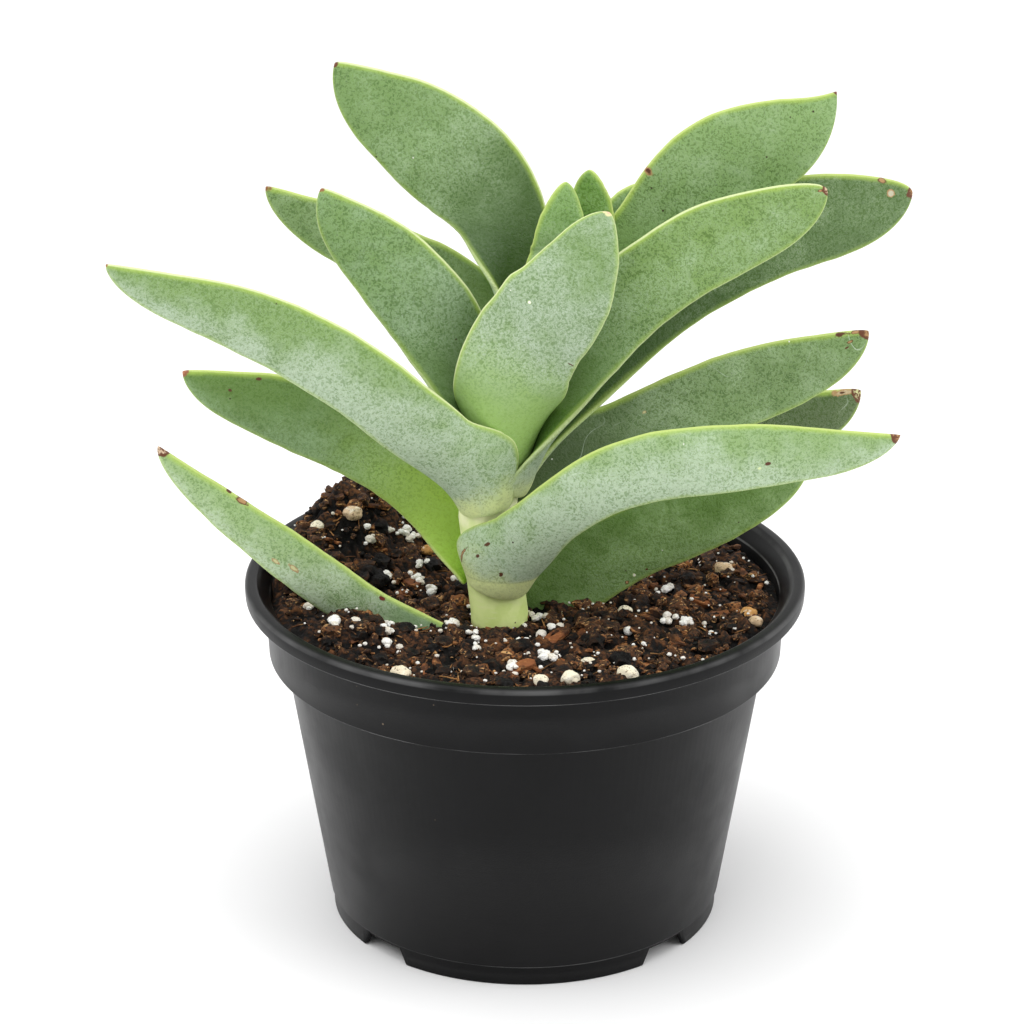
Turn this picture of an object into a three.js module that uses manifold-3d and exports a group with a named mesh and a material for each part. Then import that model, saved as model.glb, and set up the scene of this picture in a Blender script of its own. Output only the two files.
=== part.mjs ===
// A propeller plant growing in a black nursery pot, in millimetres with +Z up.
// The origin is on the pot's axis, at the surface that the pot stands on.
// The front of the plant, with the stem nearest, looks along -Y.

import * as THREE from "three";
import { mergeVertices } from "three/addons/utils/BufferGeometryUtils.js";
import Module from "manifold-3d";

const wasm = await Module();
wasm.setup();

// Pot
const rimRadius = 76;
const potHeight = 97.5;
const lipInnerRadius = 72.8;
const lipChamfer = 1.3;
const lipBottom = 93.1;
const lipUndersideRadius = 75.8;
const bandTopRadius = 70.6;
const bandBottomRadius = 69.7;
const bandBottom = 76.5;
const bodyTopRadius = 65.5;
const bodyBottomRadius = 54;
const footRadius = 53.2;
const footHeight = 5.5;
const wall = 1.5;
const potSides = 48;
const notchAzimuths = [-136, -44, 44, 136];
const notchWidth = 12;
const notchHeight = 4.6;
const notchSlope = 3;
const notchDepth = 8;
const drainHoles = 6;
const drainRadius = 4.5;
const drainCircle = 34;
const drainSides = 12;

// Clearance that touching pieces keep
const clearance = 0.3;

// Soil: its level, its crumbled relief, and the heap against the wall at the back left
const soilLevel = 92;
const soilRings = 12;
const edgeDip = 2;
const crumbSize = 6.5;
const crumbHeight = 1.5;
const heap = { azimuth: 150, spread: 27, radius: 57, breadth: 17, height: 19 };

// The hollow round the stem and the low mound beside the leaf at the left: place, reach, height
const mounds = [
  [-6.8, -18, 12, -3],
  [-48, -30, 12, 5],
];

// The big lumps of pumice, each with its place and its radius
const pumice = [
  [54.5, 12.3, 3.4],
  [60, -17, 2.6],
  [61.5, -22.5, 2.2],
  [16.5, -46, 2.2],
  [27, -11.7, 2.2],
  [-47.3, 17.8, 2.8],
  [-56.9, 12.8, 2.4],
  [-27.1, 21.6, 2],
  [-32.4, -53, 3.2],
  [4.2, -60.4, 2.4],
  [11.7, -59, 3],
  [26.7, -55.4, 3.3],
];
const perliteGrains = 26;
const perliteSizes = [1, 1.9];
const barkChips = 22;
const barkLengths = [6, 11];
const barkWidth = 3.6;
const barkThickness = 1.8;
const scatterRadius = 61;

// Stem, as points of its axis, and its radius at heights above the table
const stemAxis = [
  [-6.6, -15.3, 62],
  [-6.8, -15.3, 93],
  [-10.2, -13, 120],
  [-5.2, -7.3, 148],
  [4.8, -0.7, 183.5],
  [8.8, 2, 198],
];
const stemRadii = [
  [62, 7.4],
  [93, 7.7],
  [123, 7.6],
  [148, 6.6],
  [173, 5],
  [188, 3.4],
  [198, 2],
];
const stemSides = 16;
const stemSteps = 14;

// Leaves, listed from the ones that lie in front to the ones that tuck in behind them.
// height: where the sheath clasps the stem.  side: direction in which the base leaves the stem.
// facing: direction that the outer face looks in.  widths: of the sheath, the neck and the blade.
// knee, middle, tip: points a third and two thirds of the way along, and the end.
// widest: how far along the blade starts to taper.  blunt: fullness of the tip.
// hook: how far the tip moves to the upper edge.  flick: how much it turns up at the very end.
// collar: how far the sheath's upper corner stands off the stem, and how far along it does so most.
const leaves = [
  {
    name: "leaf_low_front_right",
    height: 100.5, side: -95, facing: -90, widths: [28, 17, 19.5],
    knee: [18, -37.3, 137.5], middle: [56, -39.2, 146.3], tip: [97.4, -29.8, 149.4],
    widest: 0.5, blunt: 2.4, hook: 0.8, flick: 1.5, collar: [5, 0.05],
  },
  {
    name: "leaf_soil_left",
    height: 71, side: -110, facing: -90, widths: [20, 16, 14.5],
    knee: [-42.6, -23, 96.3], middle: [-68.9, -24, 116.7], tip: [-96.2, -22, 143.1],
    widest: 0.4, blunt: 2.2, hook: 0.8, flick: 1.5,
  },
  {
    name: "leaf_long_front_left",
    height: 123, side: -92, facing: -90, widths: [18, 20.5, 20.5],
    knee: [-36.4, -30.8, 159.2], middle: [-69.6, -31.7, 179.4], tip: [-106.7, -33.6, 197.2],
    widest: 0.4, blunt: 2.2, hook: 0.7, flick: 1.5, collar: [6.5, 0.1],
  },
  {
    name: "leaf_upright_front",
    height: 135, side: -85, facing: -100, widths: [26, 30, 28.5],
    knee: [-2.4, -22.3, 165.9], middle: [10, -21.4, 186.5], tip: [21.5, -14.8, 205.2],
    widest: 0.56, blunt: 1.3, hook: -0.3, flick: 0,
  },
  {
    name: "leaf_upper_right",
    height: 125, side: 18, facing: 80, widths: [26, 22.5, 22.5],
    knee: [13.9, -7.3, 163.5], middle: [42.6, -3.6, 189.5], tip: [78.9, 2.1, 205.9],
    widest: 0.65, blunt: 2.6, hook: 0.2, flick: 1.5,
  },
  {
    name: "leaf_bud_front",
    height: 163.5, side: -120, facing: -90, widths: [14, 15, 16.5],
    knee: [8, -3.6, 185.6], middle: [9.6, -2.6, 196.8], tip: [10.6, -0.7, 208.8],
    widest: 0.35, blunt: 1.6, hook: 0.1, flick: 0.5,
  },
  {
    name: "leaf_middle_right",
    height: 123, side: 70, facing: 90, widths: [24, 21, 22.5],
    knee: [28.9, 2.1, 137.2], middle: [60, 3.9, 150.2], tip: [91.1, 2.1, 166.5],
    widest: 0.5, blunt: 2.6, hook: 0.6, flick: 1.5,
  },
  {
    name: "leaf_upper_left",
    height: 131, side: 170, facing: 100, widths: [26, 23, 24],
    knee: [-18.3, -7.3, 161.4], middle: [-34.3, -3.6, 184.7], tip: [-53.6, 2.1, 205.9],
    widest: 0.5, blunt: 2.5, hook: 0.6, flick: 1.5,
  },
  {
    name: "leaf_low_back_left",
    height: 101.5, side: 100, facing: 90, widths: [26, 21, 22],
    knee: [-31.3, -0.7, 127.9], middle: [-60.4, 2.1, 142.1], tip: [-91.5, 3.9, 154.2],
    widest: 0.5, blunt: 2.2, hook: 0.6, flick: 1.5,
  },
  {
    name: "leaf_soil_right",
    height: 81, side: 70, facing: 90, widths: [24, 22, 22],
    knee: [19.9, -4.5, 103.5], middle: [47, -1.7, 114.7], tip: [76.1, 0.2, 129.9],
    widest: 0.5, blunt: 2.2, hook: 0.6, flick: 1.5,
  },
  {
    name: "leaf_top_right",
    height: 160, side: 50, facing: 90, widths: [22, 23, 30],
    knee: [31.4, 9.5, 186.9], middle: [53.8, 15.1, 208.6], tip: [81.8, 17, 228],
    widest: 0.6, blunt: 2.6, hook: 0.85, flick: 3,
  },
  {
    name: "leaf_bud_back",
    height: 173.5, side: 60, facing: 90, widths: [12, 13.5, 15],
    knee: [14.8, 8.6, 186.6], middle: [16.8, 9.5, 196.8], tip: [16.8, 9.5, 208.9],
    widest: 0.4, blunt: 1.9, hook: 0.2, flick: 0.5,
  },
  {
    name: "leaf_top_left",
    height: 168, side: 115, facing: 90, widths: [22, 23, 30],
    knee: [-7, 11.4, 196.8], middle: [-26.8, 17, 215.2], tip: [-50.2, 18.9, 235],
    widest: 0.55, blunt: 2, hook: 0.5, flick: 3,
  },
  {
    name: "leaf_middle_back_right",
    height: 112.5, side: 60, facing: 90, widths: [20, 17, 19],
    knee: [30.9, 11.4, 119.7], middle: [61, 17, 130.9], tip: [91.1, 18.9, 143.3],
    widest: 0.5, blunt: 4, hook: 0.6, flick: 1.5,
  },
  {
    name: "leaf_far_right",
    height: 127, side: 50, facing: 90, widths: [22, 20, 27],
    knee: [31.3, 13.3, 167.3], middle: [64.9, 17, 189.6], tip: [103.8, 27.3, 197],
    widest: 0.6, blunt: 3, hook: 0.3, flick: 1.5,
  },
  {
    name: "leaf_young_back",
    height: 168.5, side: 80, facing: 90, widths: [12, 13, 15],
    knee: [22.8, 18.9, 185.5], middle: [29.8, 22.6, 193.6], tip: [37.8, 24.5, 198.6],
    widest: 0.5, blunt: 2.2, hook: 0.3, flick: 0.5,
  },
  {
    name: "leaf_far_left",
    height: 156, side: 130, facing: 90, widths: [20, 17, 18.5],
    knee: [-16.4, 13.3, 172.4], middle: [-42.2, 18.9, 184], tip: [-69.2, 20.7, 200.5],
    widest: 0.5, blunt: 2.2, hook: 0.6, flick: 1.5,
  },
];
// Leaf sections: the thickness past the sheath, the share lost along the leaf and at the margins
const leafThickness = 5;
const sheathThickness = 3;
const thinning = 0.4;
const marginThinning = 0.35;
const sheathGrip = 1.3;
const leafCup = 0.01;
const leafSides = 12;
const leafRows = 15;

// Share of a leaf's line that only holds its start up the stem
const heldShare = 0.25;

// Places along a leaf, from 0 at the sheath to 1 at the tip
const sheathEnd = 0.04;
const collarFade = 0.09;
const neckEnd = 0.22;
const unrolled = 0.3;
const turnedOut = 0.6;
const tipStart = 0.8;

const potMaterial = new THREE.MeshStandardMaterial({ color: 0x262729, roughness: 0.5 });
const soilMaterial = new THREE.MeshStandardMaterial({ color: 0x3a2318, roughness: 0.95 });
const stemMaterial = new THREE.MeshStandardMaterial({ color: 0xcfd892, roughness: 0.5 });
const leafMaterial = new THREE.MeshStandardMaterial({ color: 0x8fae86, roughness: 0.6 });
for (const material of [potMaterial, soilMaterial, stemMaterial, leafMaterial]) {
  material.metalness = 0;
}

// Positions only, with the vertices that share a place joined
function welded(geometry) {
  const bare = geometry.clone();
  bare.deleteAttribute("normal");
  bare.deleteAttribute("uv");
  return mergeVertices(bare, 1e-3);
}

function toSolid(geometry) {
  const { attributes, index } = welded(geometry);
  return new wasm.Manifold(
    new wasm.Mesh({
      numProp: 3,
      vertProperties: new Float32Array(attributes.position.array),
      triVerts: new Uint32Array(index.array),
    }),
  );
}

// The solid of a closed geometry whose surface is moved out along its normals
function grownSolid(geometry, distance) {
  const grown = welded(geometry);
  grown.computeVertexNormals();
  const { position, normal } = grown.attributes;
  const point = new THREE.Vector3();
  const outward = new THREE.Vector3();
  for (let i = 0; i < position.count; i++) {
    point.fromBufferAttribute(position, i);
    outward.fromBufferAttribute(normal, i);
    point.addScaledVector(outward, distance);
    position.setXYZ(i, point.x, point.y, point.z);
  }
  return toSolid(grown);
}

function largestBody(solid) {
  const bodies = solid.decompose();
  return bodies.reduce((best, body) => (body.volume() > best.volume() ? body : best));
}

function namedMesh(name, solid, material) {
  const { vertProperties, triVerts } = solid.getMesh();
  const geometry = new THREE.BufferGeometry();
  geometry.setAttribute("position", new THREE.BufferAttribute(vertProperties, 3));
  geometry.setIndex(new THREE.BufferAttribute(triVerts, 1));
  geometry.computeVertexNormals();
  const mesh = new THREE.Mesh(geometry, material);
  mesh.name = name;
  return mesh;
}

function smooth(value) {
  return THREE.MathUtils.smoothstep(value, 0, 1);
}

function horizontal(azimuth) {
  const angle = THREE.MathUtils.degToRad(azimuth);
  return new THREE.Vector3(Math.cos(angle), Math.sin(angle), 0);
}

// A repeatable draw between 0 and 1
function seededRandom(seed) {
  let state = seed;
  return () => {
    state = (state * 1664525 + 1013904223) % 4294967296;
    return state / 4294967296;
  };
}

// The value at x on the straight lines through a list of [x, value] rows
function interpolate(rows, x) {
  const i = rows.findIndex((row) => row[0] > x);
  if (i === 0) return rows[0][1];
  if (i < 0) return rows[rows.length - 1][1];
  const share = (x - rows[i - 1][0]) / (rows[i][0] - rows[i - 1][0]);
  return THREE.MathUtils.lerp(rows[i - 1][1], rows[i][1], share);
}

// A solid of revolution round +Z from [radius, height] points
function turned(profile) {
  const points = profile.map(([radius, height]) => new THREE.Vector2(radius, height));
  return new THREE.LatheGeometry(points, potSides).rotateX(Math.PI / 2);
}

function buildPot() {
  const outside = [
    [0, footHeight],
    [footRadius - wall, footHeight],
    [footRadius - wall, 0],
    [footRadius, 0],
    [footRadius, footHeight],
    [bodyBottomRadius, footHeight],
    [bodyTopRadius, bandBottom],
    [bandBottomRadius, bandBottom],
    [bandTopRadius, lipBottom],
    [lipUndersideRadius, lipBottom],
    [rimRadius, potHeight - lipChamfer],
    [rimRadius - lipChamfer, potHeight],
  ];
  const inside = [
    [lipInnerRadius, potHeight],
    [bandTopRadius - wall, lipBottom],
    [bandBottomRadius - wall, bandBottom + wall],
    [bodyTopRadius - wall, bandBottom + wall],
    [bodyBottomRadius - wall, footHeight + wall],
    [0, footHeight + wall],
  ];
  let pot = toSolid(turned([...outside, ...inside]));
  for (const azimuth of notchAzimuths) pot = pot.subtract(footNotch(azimuth));
  for (let i = 0; i < drainHoles; i++) pot = pot.subtract(drainHole((360 / drainHoles) * i));
  return namedMesh("pot", pot, potMaterial);
}

// The block with slanting ends that opens one notch in the foot ring
function footNotch(azimuth) {
  const outline = new THREE.Shape();
  outline.moveTo(-notchWidth / 2 - notchSlope, -1);
  outline.lineTo(notchWidth / 2 + notchSlope, -1);
  outline.lineTo(notchWidth / 2, notchHeight);
  outline.lineTo(-notchWidth / 2, notchHeight);
  outline.closePath();
  const block = new THREE.ExtrudeGeometry(outline, { depth: notchDepth, bevelEnabled: false });
  block.rotateX(Math.PI / 2);
  block.translate(0, footRadius + notchDepth / 2, 0);
  block.rotateZ(THREE.MathUtils.degToRad(azimuth - 90));
  return toSolid(block);
}

function drainHole(azimuth) {
  const hole = new THREE.CylinderGeometry(drainRadius, drainRadius, 4 * wall, drainSides);
  hole.rotateX(Math.PI / 2);
  const centre = horizontal(azimuth).multiplyScalar(drainCircle);
  hole.translate(centre.x, centre.y, footHeight + wall / 2);
  return toSolid(hole);
}

function stemCentre(height) {
  const x = interpolate(stemAxis.map((point) => [point[2], point[0]]), height);
  const y = interpolate(stemAxis.map((point) => [point[2], point[1]]), height);
  return new THREE.Vector3(x, y, height);
}

// A closed cylinder whose rings follow the stem's axis and radius
function stemGeometry() {
  const bottom = stemAxis[0][2];
  const top = stemAxis[stemAxis.length - 1][2];
  const geometry = new THREE.CylinderGeometry(1, 1, 1, stemSides, stemSteps);
  geometry.rotateX(Math.PI / 2);
  const position = geometry.attributes.position;
  for (let i = 0; i < position.count; i++) {
    const height = THREE.MathUtils.lerp(bottom, top, position.getZ(i) + 0.5);
    const centre = stemCentre(height);
    const radius = interpolate(stemRadii, height);
    const x = centre.x + position.getX(i) * radius;
    const y = centre.y + position.getY(i) * radius;
    position.setXYZ(i, x, y, height);
  }
  return geometry;
}

// The line through a leaf's middle. It starts up the stem, held there by a point below the base,
// and ends far enough from the tip for the hook to bring the leaf's point back onto it.
function leafLine(leaf) {
  const centre = stemCentre(leaf.height);
  const up = stemCentre(leaf.height + 10).sub(centre).normalize();
  const reach = interpolate(stemRadii, leaf.height) + sheathGrip;
  const base = centre.addScaledVector(horizontal(leaf.side), reach);
  const knee = new THREE.Vector3(...leaf.knee);
  const middle = new THREE.Vector3(...leaf.middle);
  const tip = new THREE.Vector3(...leaf.tip);
  const below = base.clone().addScaledVector(up, -knee.distanceTo(base));
  const drop = leaf.hook * leaf.widths[2] * 0.5 + leaf.flick;
  const end = tip.clone();
  let upperEdge = 1;
  for (let i = 0; i < 8; i++) {
    const along = end.clone().sub(middle).normalize();
    const outward = horizontal(leaf.facing);
    outward.addScaledVector(along, -outward.dot(along)).normalize();
    const across = outward.cross(along);
    upperEdge = Math.sign(across.z);
    end.copy(tip).addScaledVector(across, -upperEdge * drop);
  }
  const points = [below, base, knee, middle, end];
  const curve = new THREE.CatmullRomCurve3(points, false, "catmullrom", 0.5);
  return { curve, reach, upperEdge };
}

// A leaf's width at t, and how far its middle has moved towards the upper edge
function leafWidth(leaf, t) {
  const [sheath, neck, blade] = leaf.widths;
  if (t < neckEnd) return [THREE.MathUtils.lerp(sheath, neck, smooth(t / neckEnd)), 0];
  if (t < leaf.widest) {
    const share = smooth((t - neckEnd) / (leaf.widest - neckEnd));
    return [THREE.MathUtils.lerp(neck, blade, share), 0];
  }
  const u = (t - leaf.widest) / (1 - leaf.widest);
  const width = blade * Math.max(0, 1 - u ** leaf.blunt) ** 0.6;
  return [width, leaf.hook * (blade - width) * 0.5 + leaf.flick * u ** 5];
}

// How far the corner of the sheath stands off the stem at t
function collarReach(leaf, t) {
  if (!leaf.collar) return 0;
  const [reach, peak] = leaf.collar;
  return reach * Math.min(smooth(t / peak), smooth((peak + collarFade - t) / collarFade));
}

// A cosine or sine drawn towards its extremes, which squares a round section
function squared(value) {
  return Math.sign(value) * Math.abs(value) ** (2 / 3);
}

// A sphere drawn out along the leaf's line, flattened to the blade and rolled round the stem
function leafGeometry(leaf) {
  const { curve, reach, upperEdge } = leafLine(leaf);
  const geometry = new THREE.SphereGeometry(1, leafSides, leafRows);
  const position = geometry.attributes.position;
  for (let i = 0; i < position.count; i++) {
    const t = (1 - position.getY(i)) / 2;
    const onLine = THREE.MathUtils.lerp(heldShare, 1, t);
    const point = curve.getPoint(onLine);
    const along = curve.getTangent(onLine);
    const outward = horizontal(leaf.side).lerp(horizontal(leaf.facing), smooth(t / turnedOut));
    outward.addScaledVector(along, -outward.dot(along)).normalize();
    const across = outward.clone().cross(along);

    const [width, shift] = leafWidth(leaf, t);
    const closing = 1 - Math.min(1, t / sheathEnd);
    const around = Math.atan2(position.getZ(i), position.getX(i));
    const side = squared(Math.cos(around));
    const halfWidth = (width / 2) * (1 - closing ** 5) ** 0.2;
    const tipClosing = Math.sqrt(1 - Math.max(0, (t - tipStart) / (1 - tipStart)) ** 3);
    const fullness = Math.sqrt(1 - closing ** 2) * tipClosing * (1 - thinning * t);
    const thickness = THREE.MathUtils.lerp(sheathThickness, leafThickness, smooth(t / neckEnd));
    const lens = 1 - marginThinning * side * side;
    const lift = (thickness / 2) * fullness * lens * squared(Math.sin(around));

    const bend = (1 - smooth(t / unrolled)) / reach + leafCup;
    const angle = bend * halfWidth * side;
    const radius = 1 / bend + lift;
    const collar = Math.max(0, side * upperEdge) * collarReach(leaf, t);
    const aside = Math.sin(angle) * radius + (shift + collar) * upperEdge;
    point.addScaledVector(across, aside);
    point.addScaledVector(outward, Math.cos(angle) * radius - 1 / bend);
    position.setXYZ(i, point.x, point.y, point.z);
  }
  return geometry;
}

// A lattice noise between -1 and 1, one cell to the unit
function crumble(x, y) {
  const cell = (i, j) => {
    const value = Math.sin(i * 127.1 + j * 311.7) * 43758.5453;
    return (value - Math.floor(value)) * 2 - 1;
  };
  const i = Math.floor(x);
  const j = Math.floor(y);
  const near = THREE.MathUtils.lerp(cell(i, j), cell(i + 1, j), smooth(x - i));
  const far = THREE.MathUtils.lerp(cell(i, j + 1), cell(i + 1, j + 1), smooth(x - i));
  return THREE.MathUtils.lerp(near, far, smooth(y - j));
}

function soilHeight(x, y) {
  const azimuth = THREE.MathUtils.radToDeg(Math.atan2(y, x));
  const sideways = (azimuth - heap.azimuth) / heap.spread;
  const inwards = (Math.hypot(x, y) - heap.radius) / heap.breadth;
  const heaped = heap.height * Math.exp(-(sideways ** 2) - inwards ** 2);
  let level = soilLevel + heaped + crumbHeight * crumble(x / crumbSize, y / crumbSize);
  for (const [moundX, moundY, reach, height] of mounds) {
    const away = Math.hypot(x - moundX, y - moundY) / reach;
    level += height * Math.exp(-(away ** 2));
  }
  return level;
}

// The filling of the pot, one clearance off its wall, with its upper rings raised to the relief
function soilBody() {
  const gap = clearance + 0.1;
  const edgeRadius = bandTopRadius - wall - gap;
  const profile = [
    [0, footHeight + wall + clearance],
    [bodyBottomRadius - wall - gap, footHeight + wall + clearance],
    [bodyTopRadius - wall - gap, bandBottom + wall + gap],
    [bandBottomRadius - wall - gap, bandBottom + wall + gap],
  ];
  for (let i = 0; i <= soilRings; i++) {
    profile.push([edgeRadius * (1 - i / soilRings), lipBottom]);
  }
  const geometry = turned(profile);
  const position = geometry.attributes.position;
  for (let i = 0; i < position.count; i++) {
    if (position.getZ(i) < lipBottom - 0.01) continue;
    const x = position.getX(i);
    const y = position.getY(i);
    const atEdge = Math.hypot(x, y) > edgeRadius - 0.01;
    position.setZ(i, soilHeight(x, y) - (atEdge ? edgeDip : 0));
  }
  return toSolid(geometry);
}

function lump(x, y, radius, random) {
  const stone = new THREE.IcosahedronGeometry(radius, 0);
  stone.scale(1, 0.75 + 0.25 * random(), 0.75);
  stone.rotateZ(random() * Math.PI);
  stone.translate(x, y, soilHeight(x, y) + radius * 0.15);
  return toSolid(stone);
}

function barkChip(x, y, random) {
  const length = THREE.MathUtils.lerp(...barkLengths, random());
  const chip = new THREE.BoxGeometry(length, barkWidth, barkThickness);
  chip.rotateY((random() - 0.5) * 0.8);
  chip.rotateX((random() - 0.5) * 0.8);
  chip.rotateZ(random() * Math.PI);
  chip.translate(x, y, soilHeight(x, y) + 0.3);
  return toSolid(chip);
}

// A place drawn at random on the open soil
function scattered(random) {
  const place = horizontal(random() * 360).multiplyScalar(scatterRadius * Math.sqrt(random()));
  return [place.x, place.y];
}

function buildSoil(taken) {
  const random = seededRandom(7);
  let soil = soilBody();
  for (const [x, y, radius] of pumice) soil = soil.add(lump(x, y, radius, random));
  for (let i = 0; i < perliteGrains; i++) {
    const radius = THREE.MathUtils.lerp(...perliteSizes, random());
    soil = soil.add(lump(...scattered(random), radius, random));
  }
  for (let i = 0; i < barkChips; i++) soil = soil.add(barkChip(...scattered(random), random));
  for (const solid of taken) soil = soil.subtract(solid);
  return namedMesh("soil", largestBody(soil), soilMaterial);
}

const plant = new THREE.Group();
plant.add(buildPot());

const stem = stemGeometry();
plant.add(namedMesh("stem", toSolid(stem), stemMaterial));

// Each leaf is cut clear of the stem and of the leaves in front of it, and the soil of them all
const taken = [grownSolid(stem, clearance)];
for (const leaf of leaves) {
  const geometry = leafGeometry(leaf);
  let solid = toSolid(geometry);
  for (const other of taken) solid = solid.subtract(other);
  plant.add(namedMesh(leaf.name, largestBody(solid), leafMaterial));
  taken.push(grownSolid(geometry, clearance));
}
plant.add(buildSoil(taken));

export default plant;
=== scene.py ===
import math
import random

import bmesh
import bpy
from mathutils import Matrix, Vector, noise


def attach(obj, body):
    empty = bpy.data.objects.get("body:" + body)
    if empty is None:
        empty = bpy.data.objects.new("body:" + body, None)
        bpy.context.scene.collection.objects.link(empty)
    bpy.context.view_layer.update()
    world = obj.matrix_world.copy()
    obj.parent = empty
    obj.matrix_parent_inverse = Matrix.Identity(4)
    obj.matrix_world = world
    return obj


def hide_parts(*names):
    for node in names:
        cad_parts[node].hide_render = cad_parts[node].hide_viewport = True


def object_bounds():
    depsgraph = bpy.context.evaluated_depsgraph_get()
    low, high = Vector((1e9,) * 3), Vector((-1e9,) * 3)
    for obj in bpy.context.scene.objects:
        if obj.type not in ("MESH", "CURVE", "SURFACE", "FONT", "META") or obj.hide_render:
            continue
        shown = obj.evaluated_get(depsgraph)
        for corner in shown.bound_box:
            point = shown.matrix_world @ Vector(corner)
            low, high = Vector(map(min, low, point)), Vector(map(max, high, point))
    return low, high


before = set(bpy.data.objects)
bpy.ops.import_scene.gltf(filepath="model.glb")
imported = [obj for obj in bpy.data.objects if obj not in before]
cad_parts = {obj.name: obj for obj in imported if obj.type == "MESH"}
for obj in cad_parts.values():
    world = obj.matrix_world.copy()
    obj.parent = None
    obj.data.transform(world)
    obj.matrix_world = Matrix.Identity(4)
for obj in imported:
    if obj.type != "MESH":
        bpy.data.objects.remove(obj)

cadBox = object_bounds()
mm = 0.001


def lerp(a, b, share):
    return a + (b - a) * share


def smooth(value):
    value = min(1.0, max(0.0, value))
    return value * value * (3 - 2 * value)


def horizontal(azimuth):
    angle = math.radians(azimuth)
    return Vector((math.cos(angle), math.sin(angle), 0))


def interpolate(rows, x):
    if x <= rows[0][0]:
        return rows[0][1]
    for low, high in zip(rows, rows[1:]):
        if x < high[0]:
            return lerp(low[1], high[1], (x - low[0]) / (high[0] - low[0]))
    return rows[-1][1]


# a point of the smooth curve through the points, share running from 0 to 1
def onCurve(points, share):
    last = len(points) - 1
    place = min(share * last, last - 1e-9)
    i = int(place)
    before = points[i - 1] if i > 0 else 2 * points[0] - points[1]
    after = points[i + 2] if i + 2 <= last else 2 * points[last] - points[last - 1]
    start, end = points[i], points[i + 1]
    leave, arrive = (end - before) / 2, (after - start) / 2
    w = place - i
    return (
        start + leave * w + (3 * (end - start) - 2 * leave - arrive) * w * w
        + (2 * (start - end) + leave + arrive) * w ** 3
    )


def tangentAt(points, share, step=0.0001):
    ahead = onCurve(points, min(1, share + step))
    return (ahead - onCurve(points, max(0, share - step))).normalized()


def meshFrom(bm, name):
    mesh = bpy.data.meshes.new(name)
    bm.to_mesh(mesh)
    bm.free()
    return mesh


def addObject(name, data):
    added = bpy.data.objects.new(name, data)
    bpy.context.scene.collection.objects.link(added)
    return added


# pieces are modelled in millimetres, and brought to metres when they are finished
def addPiece(bm, name, material, replaced=(), faceted=False):
    bmesh.ops.scale(bm, vec=(mm, mm, mm), verts=bm.verts)
    mesh = meshFrom(bm, name)
    mesh.materials.append(material)
    if not faceted:
        mesh.shade_smooth()
    piece = addObject(name, mesh)
    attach(piece, "root")
    if replaced:
        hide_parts(*replaced)
    return piece


# the linear colour of a display colour given in 0 to 255
def rgb(red, green, blue):
    shares = [value / 255 for value in (red, green, blue)]
    return (
        *[s / 12.92 if s <= 0.04045 else ((s + 0.055) / 1.055) ** 2.4 for s in shares], 1
    )


def newMaterial(name):
    material = bpy.data.materials.new(name)
    material.use_nodes = True
    return material, material.node_tree


def addNode(tree, kind, inputs=None, **settings):
    node = tree.nodes.new("ShaderNode" + kind)
    for key, value in settings.items():
        setattr(node, key, value)
    for key, value in (inputs or {}).items():
        if isinstance(value, bpy.types.NodeSocket):
            tree.links.new(value, node.inputs[key])
        else:
            node.inputs[key].default_value = value
    return node


def calc(tree, operation, a, b=0.0):
    return addNode(tree, "Math", {0: a, 1: b}, operation=operation).outputs[0]


def times(tree, a, b):
    return calc(tree, "MULTIPLY", a, b)


def plus(tree, a, b):
    return calc(tree, "ADD", a, b)


def minus(tree, a, b):
    return calc(tree, "SUBTRACT", a, b)


# from outLow where the value is at low to outHigh where it is at high
def ease(tree, value, low, high, outLow=0.0, outHigh=1.0):
    inputs = {
        "Value": value, "From Min": low, "From Max": high, "To Min": outLow, "To Max": outHigh,
    }
    node = addNode(tree, "MapRange", inputs, interpolation_type="SMOOTHSTEP")
    return node.outputs["Result"]


def blend(tree, share, low, high):
    return addNode(tree, "Mix", {0: share, 6: low, 7: high}, data_type="RGBA").outputs[2]


def speckle(tree, place, scale, detail=2.0, distortion=0.0):
    inputs = {"Vector": place, "Scale": scale, "Detail": detail, "Distortion": distortion}
    return addNode(tree, "TexNoise", inputs).outputs["Fac"]


# round dots, in the given share of the cells of a lattice
def dots(tree, place, scale, size, share):
    cells = addNode(tree, "TexVoronoi", {"Vector": place, "Scale": scale})
    picked = addNode(tree, "SeparateColor", {0: cells.outputs["Color"]}).outputs["Red"]
    near = ease(tree, cells.outputs["Distance"], size, size * 0.55)
    return times(tree, near, ease(tree, picked, 1 - share, 1 - share * 0.9))


# thin winding lines, where a noise passes through its middle value
def winding(tree, field, width):
    fromMiddle = calc(tree, "ABSOLUTE", minus(tree, field, 0.5))
    return ease(tree, fromMiddle, width, width * 0.2)


# the place, drifting to and fro by a noise
def drifting(tree, place, scale, reach):
    drift = addNode(tree, "TexNoise", {"Vector": place, "Scale": scale}).outputs["Color"]
    inputs = {0: drift, 1: (reach, reach, reach), 2: place}
    return addNode(tree, "VectorMath", inputs, operation="MULTIPLY_ADD").outputs[0]


def objectPlace(tree):
    return addNode(tree, "TexCoord").outputs["Object"]


def heightOf(tree, place):
    return addNode(tree, "SeparateXYZ", {0: place}).outputs["Z"]


def stretched(tree, place, shares):
    return addNode(tree, "VectorMath", {0: place, 1: shares}, operation="MULTIPLY").outputs[0]


def attribute(tree, name):
    return addNode(tree, "Attribute", attribute_name=name).outputs["Fac"]


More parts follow.
